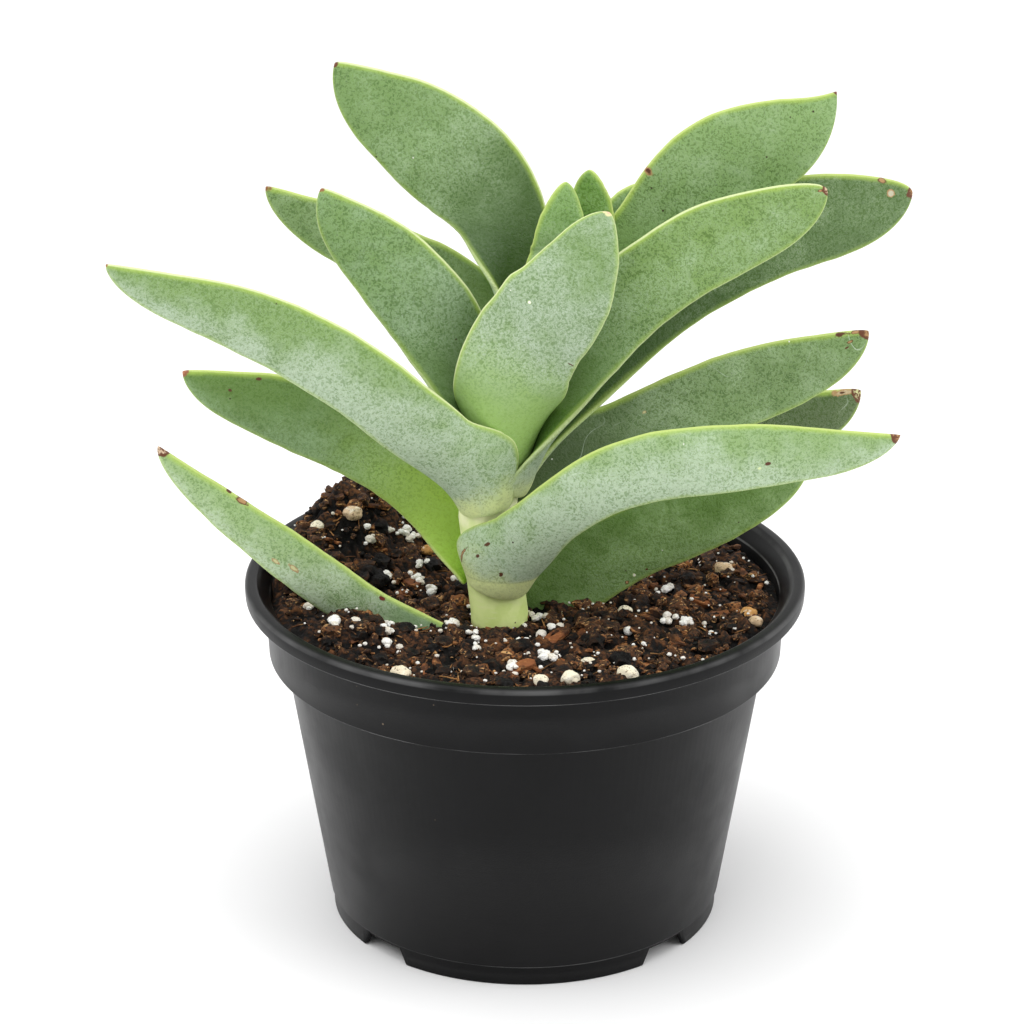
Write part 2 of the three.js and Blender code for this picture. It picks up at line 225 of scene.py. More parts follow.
def finishMaterial(tree, color, roughness, height, distance, strength=0.6, specular=0.5):
    shader = tree.nodes["Principled BSDF"]
    tree.links.new(color, shader.inputs["Base Color"])
    tree.links.new(roughness, shader.inputs["Roughness"])
    shader.inputs["Specular IOR Level"].default_value = specular
    bump = addNode(tree, "Bump", {"Strength": strength, "Distance": distance, "Height": height})
    tree.links.new(bump.outputs["Normal"], shader.inputs["Normal"])


view = {
    "place": (0, -1.0, 0.5282),
    "pitch": 22.43,
    "yaw": -0.201,
    "lens": 141.04,
    "sensor": 36,
    "clip": (0.05, 20),
}


def buildCamera():
    data = bpy.data.cameras.new("camera")
    data.lens = view["lens"]
    data.sensor_width = view["sensor"]
    data.clip_start, data.clip_end = view["clip"]
    camera = addObject("camera", data)
    camera.location = view["place"]
    camera.rotation_euler = (math.radians(90 - view["pitch"]), 0, math.radians(-view["yaw"]))
    bpy.context.scene.camera = camera
    bpy.context.scene.view_settings.view_transform = "Standard"


studio = {
    "floorSize": 12,
    "floorColor": rgb(250, 250, 250),
    "floorRoughness": 0.9,
    "floorSpecular": 0.1,
    "worldStrength": 1.0,
    "dimSide": 0.45,
    "dimming": (-0.8, 0.2),
    "lamps": [
        {"name": "topLamp", "place": (-0.4, -0.35, 1.4), "size": 1.7, "power": 17},
        {"name": "sideLamp", "place": (1.2, -0.4, 1.0), "size": 1.2, "power": 8},
    ],
    "aim": (0, 0, 0.12),
}


# a white surround that is dimmer on the side of the camera, and two large soft lamps
def buildStudio():
    world = bpy.data.worlds.new("studio")
    world.use_nodes = True
    tree = world.node_tree
    direction = addNode(tree, "TexCoord").outputs["Generated"]
    depth = addNode(tree, "SeparateXYZ", {0: direction}).outputs["Y"]
    background = tree.nodes["Background"]
    background.inputs["Strength"].default_value = studio["worldStrength"]
    brightness = ease(tree, depth, *studio["dimming"], studio["dimSide"])
    tree.links.new(brightness, background.inputs["Color"])
    bpy.context.scene.world = world
    buildFloor()
    for lamp in studio["lamps"]:
        data = bpy.data.lights.new(lamp["name"], "AREA")
        data.size = lamp["size"]
        data.energy = lamp["power"]
        light = addObject(lamp["name"], data)
        light.location = lamp["place"]
        aim = Vector(studio["aim"]) - light.location
        light.rotation_euler = aim.to_track_quat("-Z", "Y").to_euler()


def buildFloor():
    bm = bmesh.new()
    bmesh.ops.create_grid(bm, x_segments=1, y_segments=1, size=studio["floorSize"] / 2)
    mesh = meshFrom(bm, "floor")
    paper, tree = newMaterial("floorPaper")
    shader = tree.nodes["Principled BSDF"]
    shader.inputs["Base Color"].default_value = studio["floorColor"]
    shader.inputs["Roughness"].default_value = studio["floorRoughness"]
    shader.inputs["Specular IOR Level"].default_value = studio["floorSpecular"]
    mesh.materials.append(paper)
    addObject("floor", mesh)


# Sizes are in millimetres. A noise is its scale, its detail and its distortion. A painted
# highlight along an edge is the height it lies at, how far above that, how far it reaches and how
# pale it is.
pot = {
    "rimRadius": 76,
    "height": 97.5,
    "lipInnerRadius": 72.8,
    "lipBottom": 93.1,
    "lipUndersideRadius": 75.8,
    "bandTopRadius": 70.6,
    "bandBottomRadius": 69.7,
    "bandBottom": 76.5,
    "bodyTopRadius": 65.5,
    "bodyBottomRadius": 54,
    "footRadius": 53.2,
    "footHeight": 5.5,
    "wall": 1.5,
    "rimRound": 1.5,
    "edgeRound": 0.45,
    "roundSteps": 4,
    "sides": 192,
    "notchAzimuths": (-136, -44, 44, 136),
    "notchWidth": 12,
    "notchHeight": 4.6,
    "notchSlope": 3,
    "notchDepth": 8,
    "drainHoles": 6,
    "drainRadius": 4.5,
    "drainCircle": 34,
    "dark": rgb(9, 9, 10),
    "pale": rgb(17, 17, 18),
    "paintedHighlight": rgb(120, 120, 120),
    "highlightedEdges": [
        ("footHeight", 0, 0.4, 1), ("bandBottom", 0, 0.4, 1), ("lipBottom", 0, 0.4, 1),
        ("height", -0.75, 0.8, 0.42),
    ],
    "dust": rgb(112, 98, 82),
    "grain": (2600, 2),
    "cloud": (55, 4),
    "rings": (700, 1),
    "specular": 0.13,
}


# moulded plastic: satin, with a fine grain, rings from the mould, painted highlights along its edges
# and a little dust
def potMaterial():
    material, tree = newMaterial("potPlastic")
    place = objectPlace(tree)
    grain = speckle(tree, place, *pot["grain"])
    cloud = speckle(tree, place, *pot["cloud"])
    height = heightOf(tree, place)
    onlyHeight = addNode(tree, "CombineXYZ", {"Z": height}).outputs[0]
    rings = speckle(tree, onlyHeight, *pot["rings"])
    color = blend(tree, ease(tree, cloud, 0.35, 0.7), pot["dark"], pot["pale"])
    color = blend(tree, times(tree, grain, 0.25), color, pot["pale"])
    patchy = ease(tree, cloud, 0.3, 0.7)
    # painted highlights: pale lines along the rounded edges of the foot, the band, the lip and the
    # rim
    for edge, above, reach, share in pot["highlightedEdges"]:
        apart = calc(tree, "ABSOLUTE", minus(tree, height, (pot[edge] + above) * mm))
        paintedHighlight = ease(tree, apart, reach * mm, reach * mm / 4, 0, share)
        color = blend(tree, times(tree, paintedHighlight, patchy), color, pot["paintedHighlight"])
    dusty = times(tree, dots(tree, place, 300, 0.1, 0.06), ease(tree, cloud, 0.5, 0.62))
    color = blend(tree, dusty, color, pot["dust"])
    roughness = ease(tree, cloud, 0.3, 0.75, 0.32, 0.44)
    relief = plus(tree, grain, times(tree, rings, 0.5))
    finishMaterial(tree, color, roughness, relief, 0.00004, 0.5, pot["specular"])
    return material


def potProfile():
    p = pot
    wall = p["wall"]
    return [
        (0, p["footHeight"], 0),
        (p["footRadius"] - wall, p["footHeight"], 0),
        (p["footRadius"] - wall, 0, p["edgeRound"]),
        (p["footRadius"], 0, p["edgeRound"]),
        (p["footRadius"], p["footHeight"], 0),
        (p["bodyBottomRadius"], p["footHeight"], p["edgeRound"]),
        (p["bodyTopRadius"], p["bandBottom"], 0),
        (p["bandBottomRadius"], p["bandBottom"], p["edgeRound"]),
        (p["bandTopRadius"], p["lipBottom"], 0),
        (p["lipUndersideRadius"], p["lipBottom"], p["edgeRound"]),
        (p["rimRadius"], p["height"], p["rimRound"]),
        (p["lipInnerRadius"], p["height"], p["edgeRound"]),
        (p["bandTopRadius"] - wall, p["lipBottom"], 0),
        (p["bandBottomRadius"] - wall, p["bandBottom"] + wall, 0),
        (p["bodyTopRadius"] - wall, p["bandBottom"] + wall, 0),
        (p["bodyBottomRadius"] - wall, p["footHeight"] + wall, 0),
        (0, p["footHeight"] + wall, 0),
    ]


# a closed solid of revolution round the Z axis through (radius, height) points
def turned(points, sides):
    bm = bmesh.new()
    last = len(points) - 1
    bmesh.ops.create_grid(bm, x_segments=sides, y_segments=last, size=1)
    for v in bm.verts:
        angle = (v.co.x + 1) * math.pi
        radius, height = points[round((v.co.y + 1) / 2 * last)]
        v.co = (radius * math.cos(angle), radius * math.sin(angle), height)
    bmesh.ops.remove_doubles(bm, verts=bm.verts, dist=1e-4)
    bmesh.ops.recalc_face_normals(bm, faces=bm.faces)
    return bm


def buildPot(material):
    profile = potProfile()
    bm = turned([(radius, height) for radius, height, _ in profile], pot["sides"])
    for radius, height, rounding in profile:
        if not rounding:
            continue
        ring = [
            edge for edge in bm.edges
            if all(
                abs(math.hypot(v.co.x, v.co.y) - radius) < 1e-3 and abs(v.co.z - height) < 1e-3
                for v in edge.verts
            )
        ]
        bmesh.ops.bevel(
            bm, geom=ring, offset=rounding, segments=pot["roundSteps"],
            affect="EDGES", profile=0.5, material=-1,
        )
    piece = addPiece(bm, "pot_shell", material, ["pot"])
    carve(piece, potCutters())
    return piece


# slanting blocks for the gaps in the foot ring, and the drain holes in the floor
def potCutters():
    bm = bmesh.new()
    half, slope = pot["notchWidth"] / 2, pot["notchSlope"]
    for azimuth in pot["notchAzimuths"]:
        block = bmesh.ops.create_cube(bm, size=1)["verts"]
        for v in block:
            low = v.co.z < 0
            v.co.x = math.copysign(half + slope if low else half, v.co.x)
            v.co.y = pot["footRadius"] + math.copysign(pot["notchDepth"] / 2, v.co.y)
            v.co.z = -1 if low else pot["notchHeight"]
        turn = Matrix.Rotation(math.radians(azimuth - 90), 3, "Z")
        bmesh.ops.rotate(bm, verts=block, cent=(0, 0, 0), matrix=turn)
    for i in range(pot["drainHoles"]):
        place = horizontal(360 / pot["drainHoles"] * i) * pot["drainCircle"]
        place.z = pot["footHeight"] + pot["wall"] / 2
        bmesh.ops.create_cone(
            bm, cap_ends=True, segments=48, radius1=pot["drainRadius"], radius2=pot["drainRadius"],
            depth=4 * pot["wall"], matrix=Matrix.Translation(place),
        )
    return bm


# takes the cutters' shapes out of a finished piece
def carve(piece, bm):
    bmesh.ops.scale(bm, vec=(mm, mm, mm), verts=bm.verts)
    cutter = addObject("cutter", meshFrom(bm, "cutter"))
    cut = piece.modifiers.new("carve", "BOOLEAN")
    cut.operation = "DIFFERENCE"
    cut.solver = "EXACT"
    cut.object = cutter
    bpy.context.view_layer.update()
    carved = bpy.data.meshes.new_from_object(
        piece.evaluated_get(bpy.context.evaluated_depsgraph_get())
    )
    piece.modifiers.remove(cut)
    piece.data = carved
    bpy.data.objects.remove(cutter)


stem = {
    "axis": [
        (-6.6, -15.3, 62), (-6.8, -15.3, 93), (-10.2, -13, 120),
        (-5.2, -7.3, 148), (4.8, -0.7, 183.5), (8.8, 2, 198),
    ],
    "radii": [(62, 7.4), (93, 7.7), (123, 7.6), (148, 6.6), (173, 5), (188, 3.4), (198, 2)],
    "sides": 48,
    "rows": 140,
    "endRound": 0.03,
    "low": rgb(236, 252, 168),
    "high": rgb(248, 252, 200),
    "greener": rgb(204, 230, 120),
    "soiled": rgb(120, 105, 52),
    "scar": rgb(88, 66, 34),
    "paleHeights": (95, 118),
    "earthHeights": (94.8, 92),
    "cloud": (190, 3),
    "fine": (1500, 2),
    "rings": (900, 2),
    "ringStretch": (0.25, 0.25, 1),
    "specular": 0.4,
}


# smooth pale flesh, with faint rings, pores, and earth at its foot
def stemMaterial():
    material, tree = newMaterial("stemFlesh")
    place = objectPlace(tree)
    height = heightOf(tree, place)
    cloud = speckle(tree, place, *stem["cloud"])
    fine = speckle(tree, place, *stem["fine"])
    rings = speckle(tree, stretched(tree, place, stem["ringStretch"]), *stem["rings"])
    paler = ease(tree, height, *[level * mm for level in stem["paleHeights"]])
    color = blend(tree, paler, stem["low"], stem["high"])
    greener = blend(tree, ease(tree, cloud, 0.4, 0.7, 0, 0.5), color, stem["greener"])
    color = blend(tree, ease(tree, rings, 0.52, 0.7, 0, 0.25), greener, stem["high"])
    earth = plus(tree, height, times(tree, cloud, 0.006))
    earthy = ease(tree, earth, *[level * mm for level in stem["earthHeights"]], 0, 0.55)
    color = blend(tree, earthy, color, stem["soiled"])
    color = blend(tree, dots(tree, place, 420, 0.12, 0.1), color, stem["scar"])
    relief = plus(tree, fine, times(tree, rings, 1.5))
    roughness = ease(tree, cloud, 0.3, 0.7, 0.4, 0.55)
    finishMaterial(tree, color, roughness, relief, 0.00008, 0.5, stem["specular"])
    return material


def stemCentre(height):
    return Vector((
        interpolate([(point[2], point[0]) for point in stem["axis"]], height),
        interpolate([(point[2], point[1]) for point in stem["axis"]], height),
        height,
    ))


def buildStem(material):
    bm = bmesh.new()
    bmesh.ops.create_uvsphere(bm, u_segments=stem["sides"], v_segments=stem["rows"], radius=1)
    bottom, top = stem["axis"][0][2], stem["axis"][-1][2]
    for v in bm.verts:
        t = (1 + v.co.z) / 2
        around = math.atan2(v.co.y, v.co.x)
        height = lerp(bottom, top, t)
        closing = 1 - min(1, min(t, 1 - t) / stem["endRound"])
        radius = interpolate(stem["radii"], height) * math.sqrt(1 - closing ** 2)
        v.co = stemCentre(height) + Vector((math.cos(around), math.sin(around), 0)) * radius
    return addPiece(bm, "stem_flesh", material, ["stem"])


leafAttributes = ("along", "margin", "face", "upper", "tipAway")
leafForm = {
    "thickness": 5,
    "sheathThickness": 3,
    "thinning": 0.4,
    "marginThinning": 0.35,
    "sheathGrip": 1.3,
    "cup": 0.01,
    "heldShare": 0.25,
    "sheathEnd": 0.04,
    "collarFade": 0.09,
    "neckEnd": 0.22,
    "unrolled": 0.3,
    "turnedOut": 0.6,
    "tipStart": 0.8,
    "sides": 56,
    "rows": 128,
    "edgeWave": 0.3,
    "faceWave": 0.3,
    "waveStart": 0.2,
    "waveGrowth": 0.2,
    "waveEnd": 0.97,
    "waveFade": 0.15,
    "edgeWaves": (9, 26),
    "fineShare": 0.4,
    "edgeInset": 0.4,
    "faceWaves": (8, 1.6),
}

# height: where the sheath clasps the stem.  side: direction in which the base leaves the stem.
# facing: direction that the outer face looks in.  widths: of the sheath, the neck and the blade.
# knee, middle, tip: points a third and two thirds of the way along, and the end.
# collar: how far the sheath's upper corner stands off the stem, and how far along it does so most.
# plainLeaf holds what most leaves share.
plainLeaf = {"facing": 90, "widest": 0.5, "blunt": 2.2, "hook": 0.6, "flick": 1.5}
leaves = {
    "leaf_low_front_right": {
        "height": 100.5, "side": -95, "facing": -90, "widths": (28, 17, 19.5),
        "knee": (18, -37.3, 137.5), "middle": (56, -39.2, 146.3), "tip": (97.4, -29.8, 149.4),
        "blunt": 2.4, "hook": 0.8, "collar": (5, 0.05),
    },
    "leaf_soil_left": {
        "height": 71, "side": -110, "facing": -90, "widths": (20, 16, 14.5),
        "knee": (-42.6, -23, 96.3), "middle": (-68.9, -24, 116.7), "tip": (-96.2, -22, 143.1),
        "widest": 0.4, "hook": 0.8,
    },
    "leaf_long_front_left": {
        "height": 123, "side": -92, "facing": -90, "widths": (18, 20.5, 20.5),
        "knee": (-36.4, -30.8, 159.2), "middle": (-69.6, -31.7, 179.4), "tip": (-106.7, -33.6, 197.2),
        "widest": 0.4, "hook": 0.7, "collar": (6.5, 0.1),
    },
    "leaf_upright_front": {
        "height": 135, "side": -85, "facing": -100, "widths": (26, 30, 28.5),
        "knee": (-2.4, -22.3, 165.9), "middle": (10, -21.4, 186.5), "tip": (21.5, -14.8, 205.2),
        "widest": 0.56, "blunt": 1.3, "hook": -0.3, "flick": 0,
    },
    "leaf_upper_right": {
        "height": 125, "side": 18, "facing": 80, "widths": (26, 22.5, 22.5),
        "knee": (13.9, -7.3, 163.5), "middle": (42.6, -3.6, 189.5), "tip": (78.9, 2.1, 205.9),
        "widest": 0.65, "blunt": 2.6, "hook": 0.2,
    },
    "leaf_bud_front": {
        "height": 163.5, "side": -120, "facing": -90, "widths": (14, 15, 16.5),
        "knee": (8, -3.6, 185.6), "middle": (9.6, -2.6, 196.8), "tip": (10.6, -0.7, 208.8),
        "widest": 0.35, "blunt": 1.6, "hook": 0.1, "flick": 0.5,
    },
    "leaf_middle_right": {
        "height": 123, "side": 70, "widths": (24, 21, 22.5),
        "knee": (28.9, 2.1, 137.2), "middle": (60, 3.9, 150.2), "tip": (91.1, 2.1, 166.5),
        "blunt": 2.6,
    },
    "leaf_upper_left": {
        "height": 131, "side": 170, "facing": 100, "widths": (26, 23, 24),
        "knee": (-18.3, -7.3, 161.4), "middle": (-34.3, -3.6, 184.7), "tip": (-53.6, 2.1, 205.9),
        "blunt": 2.5,
    },
    "leaf_low_back_left": {
        "height": 101.5, "side": 100, "widths": (26, 21, 22),
        "knee": (-31.3, -0.7, 127.9), "middle": (-60.4, 2.1, 142.1), "tip": (-91.5, 3.9, 154.2),
    },
    "leaf_soil_right": {
        "height": 81, "side": 70, "widths": (24, 22, 22),
        "knee": (19.9, -4.5, 103.5), "middle": (47, -1.7, 114.7), "tip": (76.1, 0.2, 129.9),
    },
    "leaf_top_right": {
        "height": 160, "side": 50, "widths": (22, 23, 30),
        "knee": (31.4, 9.5, 186.9), "middle": (53.8, 15.1, 208.6), "tip": (81.8, 17, 228),
        "widest": 0.6, "blunt": 2.6, "hook": 0.85, "flick": 3,
    },
    "leaf_bud_back": {
        "height": 173.5, "side": 60, "widths": (12, 13.5, 15),
        "knee": (14.8, 8.6, 186.6), "middle": (16.8, 9.5, 196.8), "tip": (16.8, 9.5, 208.9),
        "widest": 0.4, "blunt": 1.9, "hook": 0.2, "flick": 0.5,
    },
    "leaf_top_left": {
        "height": 168, "side": 115, "widths": (22, 23, 30),
        "knee": (-7, 11.4, 196.8), "middle": (-26.8, 17, 215.2), "tip": (-50.2, 18.9, 235),
        "widest": 0.55, "blunt": 2, "hook": 0.5, "flick": 3,
    },
    "leaf_middle_back_right": {
        "height": 112.5, "side": 60, "widths": (20, 17, 19),
        "knee": (30.9, 11.4, 119.7), "middle": (61, 17, 130.9), "tip": (91.1, 18.9, 143.3),
        "blunt": 4,
    },
    "leaf_far_right": {
        "height": 127, "side": 50, "widths": (22, 20, 27),
        "knee": (31.3, 13.3, 167.3), "middle": (64.9, 17, 189.6), "tip": (103.8, 27.3, 197),
        "widest": 0.6, "blunt": 3, "hook": 0.3,
    },
    "leaf_young_back": {
        "height": 168.5, "side": 80, "widths": (12, 13, 15),
        "knee": (22.8, 18.9, 185.5), "middle": (29.8, 22.6, 193.6), "tip": (37.8, 24.5, 198.6),
        "hook": 0.3, "flick": 0.5,
    },
    "leaf_far_left": {
        "height": 156, "side": 130, "widths": (20, 17, 18.5),
        "knee": (-16.4, 13.3, 172.4), "middle": (-42.2, 18.9, 184), "tip": (-69.2, 20.7, 200.5),
    },
}

# The plain look of a leaf. baseEnd: how far along the base's tint reaches, on the inner and the
# outer face; this tint is partly the leaf's own, partly painted shade on the inner face and painted
# light on the outer. greenSides: how much less bloom there is towards the upper edge. Sizes are in
# mm.
plainLook = {
    "inner": rgb(120, 154, 86),
    "innerPale": rgb(145, 176, 119),
    "innerMark": rgb(62, 94, 36),
    "innerBase": rgb(58, 88, 28),
    "outer": rgb(124, 157, 86),
    "outerPale": rgb(171, 193, 160),
    "outerMark": rgb(86, 120, 60),
    "outerBase": rgb(232, 244, 172),
    "bloomed": 0.0,
    "greenSides": (0.0, 1.0),
    "baseEnd": (0.7, 0.09),
    "baseShares": (0.95, 1.0),
    "ring": 0.0,
    "markShares": (0.68, 0.62),
    "net": rgb(206, 220, 200),
    "netShares": (0.3, 0.5),
    "band": rgb(168, 196, 84),
    "bandShares": (0.4, 0.7),
    "line": rgb(190, 208, 120),
    "lineShares": (0.4, 0.9),
    "scratches": 0.0,
    "spots": 0.035,
    "tip": rgb(150, 104, 66),
    "tipRim": rgb(104, 60, 36),
    "tipSize": 1.3,
    "patches": [],
}

# The texture of every leaf: its noises, the dots on it and the ranges that they work in
leafTexture = {
    "broad": (34, 3),
    "cloud": (130, 4, 0.4),
    "grain": (620, 2, 0.8),
    "fine": (1350, 1.5, 0.8),
    "bloomParts": (0.85, 1.15),
    "bloomRange": (0.56, 1.44),
    "bloomChange": 0.22,
    "greenReach": 0.38,
    "baseBlur": 0.05,
    "markDrift": (1400, 0.0008),
    "markDots": (1150, 0.34, 0.75),
    "pores": 0.05,
    "scratches": (60, 0, 0.3),
    "scratchWidth": 0.004,
    "scratched": (45, 2),
    "darkSpots": (330, 0.12, rgb(60, 48, 30)),
    "paleSpots": (270, 0.09, rgb(242, 244, 235)),
    "wobble": 1.6,
    "ragged": 5,
    "reliefParts": (-0.35, 2.4),
    "reliefHeight": 0.0002,
    "specular": 0.38,
}

# a deep green base tint, darkened with painted shade
deepShadedBase = rgb(44, 74, 18)
brightBase = rgb(168, 207, 64)
paleLine = rgb(214, 225, 168)
dryTan = rgb(176, 138, 92)
dryBrown = rgb(92, 54, 30)
paleScar = rgb(206, 204, 150)

# What differs on each leaf. A patch: its place along the leaf and across it (upper edge 1), its
# size the same two ways, its tint and the tint of its rim. ring: how high a crease runs round, marked
# by a line of painted shade.
leafLooks = {
    "leaf_low_front_right": {
        "outer": rgb(138, 170, 104), "outerPale": rgb(178, 201, 166), "bloomed": 0.1,
        "ring": 105.8, "tipSize": 2.6, "tip": dryTan, "scratches": 0.8, "spots": 0.07,
        "patches": [
            (0.098, 0.51, 0.006, 0.03, dryBrown, dryBrown),
            (0.069, 0.44, 0.004, 0.025, dryBrown, dryBrown),
            (0.065, 0.02, 0.005, 0.03, dryBrown, dryBrown),
            (0.048, 0.66, 0.014, 0.025, dryTan, dryBrown),
            (0.721, -0.15, 0.006, 0.05, dryBrown, dryBrown),
            (0.703, -0.28, 0.004, 0.04, paleLine, paleLine),
        ],
    },
    "leaf_soil_left": {
        "outer": rgb(146, 177, 112), "outerPale": rgb(184, 206, 166), "bloomed": 0.05,
        "outerBase": rgb(104, 134, 92), "baseEnd": (0.7, 0.5), "tipSize": 2.8,
        "tip": rgb(214, 188, 158),
        "patches": [
            (0.767, 0.95, 0.016, 0.12, dryTan, dryBrown),
            (0.805, 0.97, 0.006, 0.06, dryBrown, dryBrown),
            (0.614, -0.36, 0.012, 0.07, paleScar, dryTan),
            (0.565, -0.15, 0.016, 0.09, paleScar, dryTan),
            (0.324, 0.86, 0.008, 0.06, rgb(110, 40, 26), rgb(96, 30, 22)),
        ],
    },
    "leaf_long_front_left": {
        "bloomed": -0.03, "tipSize": 0.9, "tip": rgb(214, 166, 124), "tipRim": rgb(160, 112, 74),
        "line": paleLine,
    },
    "leaf_upright_front": {
        "outer": rgb(116, 148, 82), "outerPale": rgb(152, 174, 141), "outerBase": rgb(158, 196, 104),
        "baseEnd": (0.7, 0.5), "baseShares": (0.9, 1), "greenSides": (0, 0.1), "bloomed": 0.1,
        "line": paleLine, "tip": rgb(226, 190, 160), "tipRim": rgb(222, 214, 160), "tipSize": 1.6,
        "patches": [
            (0.553, 0.4, 0.006, 0.03, rgb(240, 242, 236), paleLine),
            (0.443, -0.88, 0.003, 0.06, dryBrown, dryBrown),
        ],
    },
    "leaf_upper_right": {
        "inner": rgb(122, 156, 76), "innerBase": rgb(72, 108, 26), "line": paleLine,
        "tip": rgb(206, 178, 146), "tipSize": 1.8,
        "patches": [(0.985, 0.45, 0.008, 0.1, dryTan, dryBrown)],
    },
    "leaf_bud_front": {
        "outer": rgb(126, 165, 88), "outerPale": rgb(156, 188, 126), "greenSides": (0, 0.2),
        "tipSize": -3,
    },
    "leaf_middle_right": {
        "inner": rgb(118, 149, 86), "innerPale": rgb(148, 177, 122), "innerBase": rgb(58, 78, 38),
        "baseEnd": (0.6, 0.2), "baseShares": (0.8, 0.8), "scratches": 1.0, "spots": 0.08,
        "tipSize": 2, "tip": dryTan,
        "patches": [
            (0.925, 0.9, 0.012, 0.08, dryBrown, dryBrown),
            (0.947, 0.45, 0.008, 0.07, dryTan, dryBrown),
            (0.935, 0.22, 0.005, 0.04, dryBrown, dryBrown),
            (0.975, 0.9, 0.03, 0.1, dryTan, dryBrown),
            (0.382, 0.47, 0.005, 0.03, paleScar, dryTan),
        ],
    },
    "leaf_upper_left": {
        "innerPale": rgb(142, 172, 126), "innerBase": rgb(66, 98, 30), "line": paleLine,
        "tip": rgb(206, 150, 108), "tipRim": rgb(150, 104, 62), "tipSize": 0.6,
    },
    "leaf_low_back_left": {
        "inner": rgb(98, 132, 58), "innerPale": rgb(132, 163, 110), "innerBase": brightBase,
        "baseEnd": (0.66, 0.4), "baseShares": (0.78, 0.8), "greenSides": (0.9, 1),
        "markShares": (0.45, 0.6), "netShares": (0.16, 0.3), "tipSize": 1,
        "tip": rgb(196, 130, 98), "tipRim": rgb(150, 94, 66),
        "patches": [
            (0.79, 0.84, 0.006, 0.05, dryBrown, dryBrown),
            (0.862, 0.32, 0.005, 0.05, dryBrown, dryBrown),
        ],
    },
    # this leaf lies in shade behind the front leaves; its darker inner tints are partly painted shade
    "leaf_soil_right": {
        "inner": rgb(86, 122, 42), "innerPale": rgb(130, 162, 96), "innerMark": rgb(66, 98, 36),
        "innerBase": rgb(76, 108, 36), "baseEnd": (0.5, 0.3), "baseShares": (0.6, 0.8),
        "greenSides": (0.7, 1), "markShares": (0.5, 0.5), "netShares": (0.14, 0.3),
        "patches": [
            (0.406, -0.79, 0.007, 0.06, rgb(236, 236, 226), paleLine),
            (0.371, -0.85, 0.006, 0.05, dryTan, dryBrown),
            (0.455, -0.79, 0.005, 0.03, dryBrown, dryBrown),
        ],
    },
    "leaf_top_right": {
        "inner": rgb(132, 167, 96), "innerPale": rgb(156, 187, 130), "innerBase": rgb(112, 146, 74),
        "spots": 0.05, "tipSize": 0.8,
        "patches": [(0.496, 0.93, 0.008, 0.09, dryBrown, dryTan)],
    },
    "leaf_bud_back": {"inner": rgb(104, 148, 56), "innerPale": rgb(132, 174, 86), "tipSize": -3},
    "leaf_young_back": {"tipSize": -3},
    "leaf_top_left": {"innerBase": deepShadedBase, "tipSize": 0.5, "line": paleLine},
    "leaf_middle_back_right": {
        "inner": rgb(86, 106, 60), "innerPale": rgb(104, 124, 78), "tipSize": 2.6, "tip": paleScar,
        "scratches": 0.6,
        "patches": [
            (0.95, 0.86, 0.035, 0.14, rgb(196, 176, 140), dryTan),
            (0.945, 0.86, 0.008, 0.05, dryBrown, dryBrown),
        ],
    },
    "leaf_far_right": {
        "inner": rgb(84, 114, 56), "innerPale": rgb(110, 138, 84), "spots": 0.08, "tipSize": 1.8,
        "tip": dryTan,
        "patches": [
            (0.922, 0.93, 0.01, 0.07, dryTan, dryBrown),
            (0.944, 0.52, 0.009, 0.13, rgb(196, 192, 164), dryTan),
        ],
    },
    "leaf_far_left": {
        "inner": rgb(118, 150, 84), "innerPale": rgb(146, 171, 122), "innerBase": rgb(92, 122, 50),
        "tip": rgb(206, 150, 108), "tipRim": rgb(140, 92, 56), "tipSize": 0.8,
    },
}


